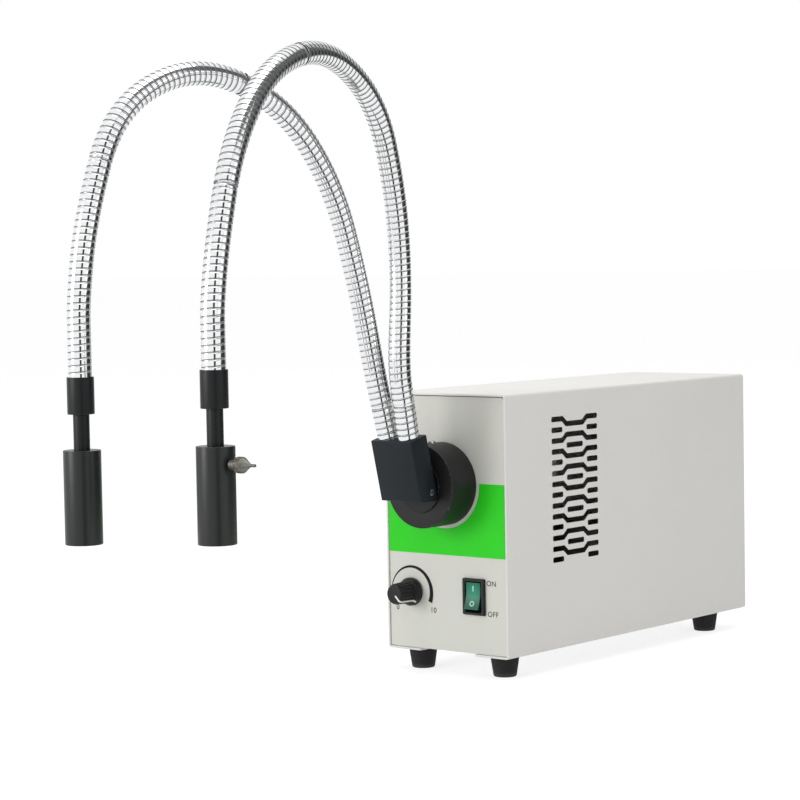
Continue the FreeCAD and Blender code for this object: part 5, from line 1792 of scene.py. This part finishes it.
LENS_PARTS = (
    EndPart("lens", "lens", "lens_glass", LENS_GLASS,
            ((0, 40), (7.95, 40), (7.95, 42.5), (7.0, 42.5), *LENS_DOME, (0, 45.05)), 0.12),
    EndPart("lens_ring", "lens_ring", "ferrule_black", FERRULE_BLACK,
            ((7.05, 42.5), (7.97, 42.5), (7.97, 46), (7.05, 46)), 0.2),
)
THUMBSCREW = (
    (0, 4.5), (1.5, 4.5), (1.5, 10.05), (2.4, 10.05), (2.4, 14.45), (3.7, 14.45), (3.85, 14.85),
    (3.85, 18.5), (3.6, 18.9), (0.8, 23.15), (0.8, 26.35), (0, 26.35),
)


@dataclass
class Arm:
    """One gooseneck arm, from its socket in the block to the tip of its lens barrel."""

    side: Side
    route: Outline
    recipe: Recipe
    heading: float
    exit_place: Pair = (-39.09, 127.2)
    pitch: float = 14.4
    splay: float = math.radians(11.05)
    socket: float = 10.0
    grip: float = 8.0
    radius: float = 6.25
    strip_pitch: float = 3.5
    seam_depth: float = 0.26
    crown: float = 0.025
    lip: float = 2.15
    nose: float = 0.45
    ball: float = 6.1
    bowl: float = 6.45
    groove: float = 0.4
    groove_shade: float = 0.3
    bowl_shade: float = 0.5
    rim_search: float = 0.6
    sides: int = 40
    line_steps: int = 320
    barrel_drop: float = 37.4
    clamp_drop: float = 8.8
    clamp_hole: float = 1.55
    knurl_place: float = 16.7
    knurl_radius: float = 3.8
    ridges: int = 36

    SPANS = ("root", "rise", "crown", "drop")
    JOINTS = ("rise_bend", "crown_swing", "drop_bend")

    def build(self, frame: dict[str, Any]) -> None:
        """Makes the hose spans, then the end of the arm."""
        self.hose(frame)
        self.tip()

    @property
    def across(self) -> Vector:
        """The direction across the arm's upright plane."""
        return Vector((math.cos(self.splay), self.side.value * math.sin(self.splay), 0))

    def point(self, reach: float, height: float) -> Vector:
        """A point of the arm's plane, from its reach and height."""
        x = PORT_LINE + self.side.value * (self.pitch / 2 + reach * math.sin(self.splay))
        return at(x, self.exit_place[0] - reach * math.cos(self.splay), height)

    def line(self) -> list[Vector]:
        """Bends the middle of the hose smoothly through its route.

        Returns:
            Close points from the socket to the ferrule.
        """
        route = [self.point(0, self.exit_place[1])] + [self.point(*spot) for spot in self.route]
        start = route[0] - (route[1] - route[0]).normalized() * self.socket * MM
        knots = [start, (route[0] + route[1]) / 2, *route[1:-1]]
        knots += [(route[-2] + route[-1]) / 2, route[-1] + DOWN * self.grip * MM]
        halves = [(before + after) / 2 for before, after in zip(knots, knots[1:])]
        stops = [knots[0], *halves[1:-1], knots[-1]]
        points = [start]
        for first, knot, last in zip(stops, knots[1:], stops[1:]):
            for step in range(1, self.line_steps + 1):
                points.append(bent_run(first, knot, last, step / self.line_steps))
        return points

    def hose(self, frame: dict[str, Any]) -> None:
        """Winds the strip along the four spans and closes their ends.
        """
        points = self.line()
        reached = [0.0]
        for before, after in zip(points, points[1:]):
            reached.append(reached[-1] + (after - before).length)
        curve = bpy.data.curves.new("hose_line", "CURVE")
        curve.dimensions = "3D"
        spline = curve.splines.new("POLY")
        spline.points.add(len(points) - 1)
        for knot, point in zip(spline.points, points):
            knot.co = (*point, 1.0)
        guide = link("hose_line", curve)

        word = self.side.word
        joints = {joint["name"]: joint for joint in frame["joints"]}
        stops = [0]
        for name in self.JOINTS:
            knee = Vector(joints[f"{word}_{name}"]["pos_m"])
            stops.append(min(range(len(points)), key=lambda i, k=knee: (points[i] - k).length))
        stops.append(len(points) - 1)
        for index, span in enumerate(self.SPANS):
            low, high = stops[index], stops[index + 1]
            nose = self.nose if index else 0.0
            lip = self.lip if span != self.SPANS[-1] else 0.0
            name = f"{word}_hose_{span}"
            skin = self.recipe.make(
                name + "_skin", HOSE_CHROME, Line=guide, Across=self.across,
                Start=reached[low] + nose * MM, End=reached[high] - lip * MM,
                Pitch=self.strip_pitch * MM, Radius=self.radius * MM,
                Seam_Depth=self.seam_depth * MM, Crown=self.crown * MM,
                Sides=self.sides, Steps=len(STRIP_ROWS) - 1,
            )
            work = bmesh.new()
            work.from_mesh(skin.data)
            drop(skin)
            self.close(work, points, low, nose, self.ball_sections() if nose else [])
            self.close(work, points, high, -lip, self.bowl_sections() if lip else [])
            piece = finish_mesh(name, work, HOSE_CHROME, smooth_below=75)
            body = f"{word}_{span}" if index else "guide"
            settle(piece, body, "hose_chrome", f"hose_{word}_{span}")
        drop(guide)

    def ball_sections(self) -> list[Triple]:
        """The ribbed ball that a span turns on.

        Returns:
            Rings as (radius, distance, painted shade).
        """
        # The third values are painted shade: at the ball's rim and in its grooves.
        sections = [(self.ball, self.nose, 0.3), (self.ball, 0.0, 0.1)]
        for degrees, dip in ((4, 0), (9, 0), (13, 0.5), (16, 1), (19, 0.5), (24, 0), (32, 0),
                             (40, 0), (45, 0.6), (50, 0), (60, 0), (72, 0)):
            reach = self.ball - dip * self.groove
            angle = math.radians(degrees)
            shade = dip * self.groove_shade
            sections.append((reach * math.cos(angle), -reach * math.sin(angle), shade))
        return sections + [(0.0, -self.ball, 0.0)]

    def bowl_sections(self) -> list[Triple]:
        """The hollow end that holds the next span's ball.

        Returns:
            Rings as (radius, distance, painted shade).
        """
        backs = (self.lip, 2.6, 3.8, 5.0, 6.0)
        shade = self.bowl_shade
        rings = [(math.sqrt(self.bowl**2 - back**2), -back, shade) for back in backs]
        return rings + [(0.0, -self.bowl, shade)]

    def close(
        self,
        work: Work,
        points: Sequence[Vector],
        stop: int,
        place: float,
        sections: Sequence[Triple],
    ) -> None:
        """Closes an open end of the wound skin.

        Args:
            work: The mesh.
            points: The hose's middle line.
            stop: The number of the point that distances are measured from.
            place: The distance at which the open rim lies.
            sections: Rings as (radius, distance, painted shade), the last one on the axis; none
                caps the rim flat.
        """
        before, after = points[max(stop - 1, 0)], points[min(stop + 1, len(points) - 1)]
        centre, heading = points[stop], (after - before).normalized()
        # The seam layer holds painted shade, which darkens the colour.
        layer = work.verts.layers.float["seam"]
        middle = centre + heading * place * MM
        side = self.across
        upright = heading.cross(side)
        spokes = []
        for vert in work.verts:
            spoke = vert.co - middle
            level = abs(spoke.dot(heading)) < self.rim_search * MM
            if level and vert.is_boundary and spoke.length < 1.5 * self.radius * MM:
                spokes.append((math.atan2(spoke.dot(upright), spoke.dot(side)), vert))
        spokes.sort(key=lambda pair: pair[0])
        loop = [vert for _, vert in spokes]
        for radius, distance, seam in sections or [(0.0, place, 0.0)]:
            base = centre + heading * distance * MM
            angles = [angle for angle, _ in spokes] if radius else [0.0]
            ring = []
            for angle in angles:
                spoke = (side * math.cos(angle) + upright * math.sin(angle)) * radius * MM
                ring.append(work.verts.new(base + spoke))
                ring[-1][layer] = seam
            bridge(work, loop, ring)
            loop = ring

    def part(self, part: EndPart, top: Vector) -> Thing:
        """Turns one of the pieces at the end of the arm."""
        name = f"{self.side.word}_{part.name}"
        return turned(name, part.outline, top, DOWN, part.finish, part.edge, part.sides)

    def tip(self) -> None:
        """Makes the ferrule, the stem and the fibres' end, then the lens barrel on them."""
        word = self.side.word
        top = self.point(*self.route[-1])
        for part in STEM_PARTS:
            settle(self.part(part, top), f"{word}_drop", part.slot, f"{part.node}_{word}")
        top += DOWN * self.barrel_drop * MM
        angle = math.radians(self.heading)
        outward = Vector((math.cos(angle), math.sin(angle), 0))
        seat = top + DOWN * self.clamp_drop * MM
        tube = cut(self.part(BARREL, top), bar(seat, outward, self.clamp_hole, 20.0))
        settle(tube, f"{word}_barrel", BARREL.slot, f"{BARREL.node}_{word}")
        for part in LENS_PARTS:
            settle(self.part(part, top), f"{word}_barrel", part.slot, f"{part.node}_{word}")
        self.thumbscrew(seat, outward)

    def thumbscrew(self, seat: Vector, outward: Vector) -> None:
        """Makes the knurled screw with its cone and pin.

        Args:
            seat: Where its axis meets the barrel's axis.
            outward: The direction it points in.
        """
        word = self.side.word
        core = turned("core", THUMBSCREW, seat, outward, THUMB_NICKEL, edge=0.25, sides=64)
        ridge = self.ridge()
        knurl = ring_recipe().make(
            "knurl", THUMB_BRASS, Shape=ridge, Count=self.ridges, Radius=self.knurl_radius * MM
        )
        drop(ridge)
        knurl.data.transform(pose_matrix(seat + outward * self.knurl_place * MM, outward))
        piece = joined(f"{word}_thumbscrew", [core, knurl])
        settle(piece, f"{word}_clamp", "thumb_metal", f"thumbscrew_{word}")

    @staticmethod
    def ridge() -> Thing:
        """Makes one ridge of a knurl: a short bar with bevelled ends.

        Returns:
            The ridge, with its crest towards +X.
        """
        half, bevel, width, crest, root = 1.9, 0.35, 0.33, 0.3, -0.25
        rows = []
        for z, share in ((-half, 0.2), (bevel - half, 1.0), (half - bevel, 1.0), (half, 0.2)):
            corners = ((root, -width), (crest * share, 0.0), (root, width))
            rows.append([Vector((x, y, z)) * MM for x, y in corners])
        return lofted("ridge", rows, THUMB_BRASS)


# -------------------------------- controls


@dataclass
class Dimmer:
    """The fluted knob with its white pointer line."""

    place: Pair = (-26.0, 34.2)
    skirt: float = 8.2
    grip_base: float = 6.6
    grip_tip: float = 6.1
    grip_start: float = 5.0
    grip_length: float = 11.0
    flute: float = 0.5
    flute_width: float = 0.72
    ribs: int = 20
    pointer: float = -45.0
    line_width: float = 0.55
    line_depth: float = 0.6
    line_path: Outline = (
        (1.2, 16.84), (5.3, 16.84), (5.95, 16.2), (6.12, 15.6), (6.6, 5.2), (7.55, 4.1),
        (7.85, 3.6),
    )

    def build(self, frame: dict[str, Any]) -> None:
        """Makes the knob and dresses what lies behind it.
        """
        centre = of_panel(*self.place)
        base, tip = self.grip_base - self.flute, self.grip_tip - self.flute
        outline = [
            (0, 3.6), (6.6, 3.6), (6.6, 0.5), (self.skirt, 0.5), (self.skirt, 2.6), (7.6, 3.7),
            (base, self.grip_start), (tip, 15.9), (tip - 0.5, 16.8), (0, 16.8),
        ]
        core = turned("core", outline, centre, FORWARD, KNOB_BLACK, edge=0.45)
        rib = self.rib()
        ribs = ring_recipe().make("ribs", KNOB_BLACK, Shape=rib, Count=self.ribs, Radius=base * MM)
        drop(rib)
        ribs.data.transform(pose_matrix(centre, FORWARD))
        piece = joined("dimmer_knob", [core, ribs, self.line(centre)])
        settle(piece, "dimmer", "knob_black", "knob")
        dress(frame, ("pot_shaft", PLUG_STEEL), ("potentiometer", POT_ZINC), ("pot_nut", POT_ZINC))

    def rib(self) -> Thing:
        """Makes one rounded ridge of the grip, its crest towards +X and its length along +Z.

        Returns:
            The ridge.
        """
        lean = (self.grip_tip - self.grip_base) / self.grip_length
        rows = []
        for z, share in ((4.9, 0.1), (5.3, 0.7), (5.9, 1.0), (15.2, 1.0), (15.9, 0.6),
                         (16.2, 0.05)):
            back = (z - self.grip_start) * lean
            row = []
            for step in range(7):
                angle = math.pi * step / 6
                crest = back + self.flute * share * math.sin(angle) - 0.05
                row.append(Vector((crest, self.flute_width * math.cos(angle), z)) * MM)
            rows.append(row + [Vector((back - 0.4, y, z)) * MM for y in (-0.6, 0.6)])
        return lofted("rib", rows, KNOB_BLACK)

    def line(self, centre: Vector) -> Thing:
        """Makes the inlaid white line, from the middle of the cap over its edge to the skirt.

        Args:
            centre: Where the knob's axis meets the panel.

        Returns:
            The line.
        """
        angle = math.radians(self.pointer)
        outward = Vector((math.cos(angle), 0, math.sin(angle)))
        wide = outward.cross(FORWARD) * self.line_width * MM
        rows = []
        for radius, forward in self.line_path:
            spot = centre + (outward * radius + FORWARD * forward) * MM
            under = outward * max(radius - 0.9, 0.8) + FORWARD * (forward - self.line_depth)
            inner = centre + under * MM
            rows.append([spot - wide, spot + wide, inner + wide, inner - wide])
        return lofted("line", rows, WHITE_INK)


@dataclass
class PowerSwitch:
    """The rocker switch: a moulded bezel and a lit rocker."""

    place: Pair = (20.0, 34.3)
    bezel: Triple = (15.5, 21.0, 2.0)
    body: Triple = (13.0, 19.2, 14.0)
    pocket: Triple = (11.2, 17.4, 8.0)
    blade_rows: tuple[float, ...] = (-6.0, 0.0, 6.0)
    blade: Triple = (6.3, 8.0, 0.8)
    blade_point: float = 0.6
    half_width: float = 5.25
    half_height: float = 7.7
    half_edge: float = 0.35
    hollow: float = 1.1
    crest: float = 1.9
    hollow_steps: int = 12
    tilt: float = -9.0
    pivot_depth: float = 1.0
    pin_radius: float = 1.0
    pin_length: float = 12.1
    lamp_place: Triple = (20.0, 37.0, 3.0)
    mark_height: float = 4.3
    mark_proud: float = 2.32

    def build(self) -> None:
        """Makes the housing and the rocker."""
        self.housing()
        self.rocker()

    def housing(self) -> None:
        """Makes the bezel, its body and the three terminals behind."""
        wide, high, proud = self.bezel
        inner_wide, inner_high, deep = self.pocket
        body_wide, body_high, body_deep = self.body
        loops = [
            rounded_rectangle(*section) for section in (
                (body_wide, body_high, 0.5, -body_deep), (body_wide, body_high, 0.5, 0.0),
                (wide, high, 0.8, 0.0), (wide, high, 0.8, proud - 0.7),
                (wide - 0.2, high - 0.2, 0.8, proud - 0.3), (wide - 0.7, high - 0.7, 0.7, proud),
                (inner_wide + 0.9, inner_high + 0.9, 0.6, proud),
                (inner_wide + 0.3, inner_high + 0.3, 0.4, proud - 0.25),
                (inner_wide, inner_high, 0.3, proud - 0.7), (inner_wide, inner_high, 0.3, -deep),
            )
        ]
        place = Matrix.Translation(of_panel(*self.place)) @ Matrix.Rotation(math.pi / 2, 4, "X")
        pieces = [lofted("bezel", loops, SWITCH_BLACK, place)]
        width, length, thick = self.blade
        left = self.place[0] - width / 2
        for row in self.blade_rows:
            low = of_panel(left, self.place[1] + row - thick / 2, -body_deep)
            corners = [
                low + (RIGHT * x + REARWARD * y) * MM
                for x, y in ((0, 0), (width, 0), (width - self.blade_point, length),
                             (self.blade_point, length))
            ]
            pieces.append(plate("blade", corners, UP * thick * MM, PIN_NICKEL, 0.1))
        settle(joined("switch_body", pieces), "case", "switch_black", "switch_housing")

    def rocker(self) -> None:
        """Makes the rocker, its upper half brighter than its lower from painted lamp light, with
        its raised marks, pressed at its top.
        """
        pivot = of_panel(*self.place, -self.pivot_depth)
        lit = LitPlastic(
            "rocker_lens", (0.010, 0.20, 0.115), 0.3, centre=tuple(of_panel(*self.lamp_place))
        )
        pieces = [self.half("upper", 1, lit), self.half("lower", -1, lit), *self.marks()]
        outline = [
            (0, 0), (self.pin_radius, 0), (self.pin_radius, self.pin_length), (0, self.pin_length)
        ]
        start = pivot - RIGHT * (self.pin_length / 2) * MM
        pieces.append(turned("pin", outline, start, RIGHT, SWITCH_BLACK, edge=0.2, sides=24))
        piece = joined("lit_rocker", pieces)
        turn = Matrix.Rotation(math.radians(self.tilt), 4, "X")
        piece.data.transform(Matrix.Translation(pivot) @ turn @ Matrix.Translation(-pivot))
        settle(piece, "rocker", "rocker_green", "switch_rocker")

    def marks(self) -> list[Thing]:
        """Makes the raised bar on the upper half and the ring on the lower one.

        Returns:
            The two marks.
        """
        x, z = self.place
        lean = math.radians(-self.tilt)
        flat, rise = math.cos(lean), math.sin(lean)
        spot = of_panel(x, z + self.mark_height, self.mark_proud)
        outward, upward = Vector((0, -flat, -rise)), Vector((0, -rise, flat))
        corners = [
            spot + (RIGHT * across + upward * along - outward * 0.15) * MM
            for across, along in ((-0.35, -1.6), (0.35, -1.6), (0.35, 1.6), (-0.35, 1.6))
        ]
        line = plate("bar_mark", corners, outward * 0.25 * MM, MARK_INK, 0.04)
        spot = of_panel(x, z - self.mark_height, self.mark_proud)
        outline = [(1.0, -0.15), (1.6, -0.15), (1.6, 0.12), (1.0, 0.12)]
        outward = Vector((0, -flat, rise))
        return [line, turned("ring_mark", outline, spot, outward, MARK_INK, 0.05, sides=40)]

    def half(self, name: str, sign: int, finish: Finish) -> Thing:
        """Makes one half of the rocker, with the hollow face that a finger presses.

        Args:
            name: The object's name.
            sign: 1 for the upper half, -1 for the lower one.
            finish: What it is dressed in.

        Returns:
            The half.
        """
        high, edge = self.half_height, self.half_edge
        front = []
        for step in range(self.hollow_steps + 1):
            share = step / self.hollow_steps
            front.append((-self.crest - self.hollow * share**1.7, high * share))
        front.append((-2.4, high))
        back = [(0.0, high), (4.5, 5.6), (4.5, 0.0)]
        loops = []
        for inset, x in ((edge, -self.half_width), (0.0, edge - self.half_width),
                         (0.0, self.half_width - edge), (edge, self.half_width)):
            side = [(y + inset, z) for y, z in front] + back
            loops.append([
                of_panel(self.place[0] + x, self.place[1] + sign * z, -y) for y, z in side
            ])
        return lofted(name, loops, finish, smooth_below=40)


# -------------------------------- inside and rear


INSIDE_FINISHES: tuple[tuple[str, Finish], ...] = (
    ("heat_filter", FILTER_GLASS), ("lamp", LAMP_MIRROR), ("lamp_socket", CERAMIC),
    ("transformer_core", CORE_STEEL), ("transformer_coil", COIL_TAPE),
    ("dimmer_board", BOARD_GREEN), ("board_standoffs", STANDOFF_BRASS),
    ("heat_sink", SINK_BLACK), ("fan_frame", FAN_BLACK), ("fan_rotor", FAN_BLACK),
    ("mains_inlet", INLET_BLACK), ("inlet_pins", PIN_NICKEL), ("fuse_drawer", INLET_BLACK),
    ("fuse", FUSE_GLASS),
)


# -------------------------------- studio


@dataclass
class Studio:
    """A white product studio: a pale floor, soft lamps and dark cards for the chrome to show."""

    place: Triple = (0.8909, -1.1239, 0.2393)
    yaw: float = math.radians(39.483)
    pitch: float = math.radians(3.211)
    roll: float = math.radians(-1.0255)
    lens: float = 112.66
    sensor: float = 36.0
    reach: float = 50.0
    floor_size: float = 30.0
    floor_tone: Colour = (0.85, 0.85, 0.85)
    floor_glow: float = 1.38
    floor_share: float = 0.55
    lamps_aim: Colour = (0.0, 0.0, 0.12)
    lamps: Sequence[tuple[str, Triple, float, float]] = (
        ("key", (-0.75, -1.6, 0.5), 0.7, 10.0),
        ("fill", (1.7, 0.5, 0.6), 0.8, 1.5),
        ("top", (0.0, 0.0, 2.0), 1.4, 14.3),
    )

    def build(self) -> None:
        """Sets the camera, the floor, the world and the lamps."""
        scene = bpy.context.scene
        scene.view_settings.view_transform = "Standard"
        self.camera(scene)
        self.floor()
        self.world(scene)
        for name, place, size, energy in self.lamps:
            self.lamp(name, Vector(place), size, energy)

    def camera(self, scene: bpy.types.Scene) -> None:
        """Places the camera low in front, to the right of the panel.

        Args:
            scene: The scene that looks through it.
        """
        across, along = math.cos(self.yaw), math.sin(self.yaw)
        flat = math.cos(self.pitch)
        forward = Vector((-along * flat, across * flat, -math.sin(self.pitch)))
        right = Vector((across, along, 0))
        up = right.cross(forward)
        tilted = right * math.cos(self.roll) + up * math.sin(self.roll)
        upright = up * math.cos(self.roll) - right * math.sin(self.roll)
        turn = Matrix((tilted, upright, -forward)).transposed().to_4x4()
        data = bpy.data.cameras.new("front_camera")
        data.lens = self.lens
        data.sensor_width = self.sensor
        data.clip_end = self.reach
        camera = link("front_camera", data)
        camera.matrix_world = Matrix.Translation(Vector(self.place)) @ turn
        scene.camera = camera

    def floor(self) -> None:
        """Lays the pale floor."""
        work = bmesh.new()
        bmesh.ops.create_grid(work, x_segments=2, y_segments=2, size=self.floor_size)
        mesh = bpy.data.meshes.new("floor")
        work.to_mesh(mesh)
        work.free()
        material = bpy.data.materials.new("floor_white")
        material.use_nodes = True
        graph = Graph(material.node_tree)
        graph.tree.nodes.clear()
        camera = graph.node("ShaderNodeLightPath", output="Is Camera Ray")
        seen = camera.at_least(camera.sibling("Is Glossy Ray"))
        diffuse = graph.node("ShaderNodeBsdfDiffuse", {}, {"Color": self.floor_tone})
        inputs = {"Color": (1, 1, 1), "Strength": self.floor_glow}
        plain = graph.node("ShaderNodeEmission", {}, inputs)
        inputs = {0: seen * self.floor_share, 1: diffuse, 2: plain}
        graph.end("ShaderNodeOutputMaterial", graph.node("ShaderNodeMixShader", {}, inputs))
        mesh.materials.append(material)
        floor = link("floor", mesh)
        floor.visible_glossy = False

    def world(self, scene: bpy.types.Scene) -> None:
        """Surrounds the object with white, and with soft dark cards for reflections only.

        Args:
            scene: The scene that gets the world.
        """
        world = bpy.data.worlds.new("studio")
        scene.world = world
        world.use_nodes = True
        graph = Graph(world.node_tree)
        graph.tree.nodes.clear()
        camera = graph.node("ShaderNodeLightPath", output="Is Camera Ray")
        glossy = camera.sibling("Is Glossy Ray")
        seen = camera.at_least(camera.sibling("Is Transmission Ray"))
        way = graph.node("ShaderNodeTexCoord", output="Generated")
        height = way.part(2)
        line = self.card(graph, way, 14.5, 8.5) * (1.0 - graph.step(height, 0.55, 0.7))
        board = self.card(graph, way, 100.0, 26.0) + self.card(graph, way, 134.0, 18.0) * 0.6
        board = board.at_most(1.0) * graph.step(height, -0.25, -0.12)
        faded = 1.0 - graph.step(height, 0.1, 0.35) * 0.08 - graph.step(height, 0.6, 0.75) * 0.92
        over = self.card(graph, way, 68.0, 42.0) * graph.step(height, 0.6, 0.74)
        over = over * (1.0 - graph.step(height, 0.88, 0.96)) * 0.85
        mirrored = 1.0 - (line + board * faded + over).at_most(1.0) * 0.96
        strength = seen + (1.0 - seen) * (glossy * mirrored + (1.0 - glossy) * 0.6)
        inputs = {"Color": (1, 1, 1), "Strength": strength}
        graph.end("ShaderNodeOutputWorld", graph.node("ShaderNodeBackground", {}, inputs))

    def card(self, graph: Graph, way: Wire, turn: float, half: float) -> Wire:
        """An upright dark card.

        Args:
            graph: The world's tree.
            way: The direction that is looked in.
            turn: How far its middle lies to the right of the camera, in degrees.
            half: Half its width in degrees.

        Returns:
            1 on the card and 0 beside it.
        """
        angle = -math.pi / 2 + self.yaw + math.radians(turn)
        towards = (math.cos(angle), math.sin(angle), 0.0)
        flat = graph.vector("MULTIPLY", way, (1, 1, 0))
        unit = graph.node("ShaderNodeVectorMath", {"operation": "NORMALIZE"}, {0: flat})
        cosine = graph.vector("DOT_PRODUCT", unit, towards, 1)
        near, far = math.cos(math.radians(half * 0.8)), math.cos(math.radians(half * 1.2))
        return graph.step(cosine, far, near)

    def lamp(self, name: str, place: Vector, size: float, energy: float) -> None:
        """Hangs one soft square lamp.

        Args:
            name: Its name.
            place: Where it hangs.
            size: The length of its sides.
            energy: Its power in watts.
        """
        data = bpy.data.lights.new(name, "AREA")
        data.shape = "SQUARE"
        data.size = size
        data.energy = energy
        aim = (Vector(self.lamps_aim) - place).to_track_quat("-Z", "Y")
        link(name, data).matrix_world = Matrix.Translation(place) @ aim.to_matrix().to_4x4()


# -------------------------------- the whole


LEFT_ROUTE: Outline = (
    (9.4, 165.0), (20.0, 215.0), (37.0, 271.0), (72.0, 314.0), (127.0, 332.0), (178.0, 308.0),
    (197.0, 250.0), (202.5, 209.0), (202.5, 170.0),
)
RIGHT_ROUTE: Outline = (
    (10.0, 168.0), (5.0, 217.0), (10.0, 264.0), (30.0, 314.0), (85.0, 340.0), (142.0, 326.0),
    (178.0, 286.0), (193.0, 240.0), (199.5, 208.0), (199.5, 175.0),
)


def main() -> None:
    """Builds and dresses the whole object in order."""
    logging.basicConfig(level=logging.INFO, format="%(message)s")
    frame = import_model()
    Housing().build(frame)
    DialPrint().build()
    LightPort().build(frame)
    GuideBlock().build()
    hose = helix_recipe()
    Arm(Side.LEFT, LEFT_ROUTE, hose, heading=135.0).build(frame)
    Arm(Side.RIGHT, RIGHT_ROUTE, hose, heading=0.0).build(frame)
    Dimmer().build(frame)
    PowerSwitch().build()
    dress(frame, *INSIDE_FINISHES)
    Studio().build()


if __name__ == "__main__":
    main()
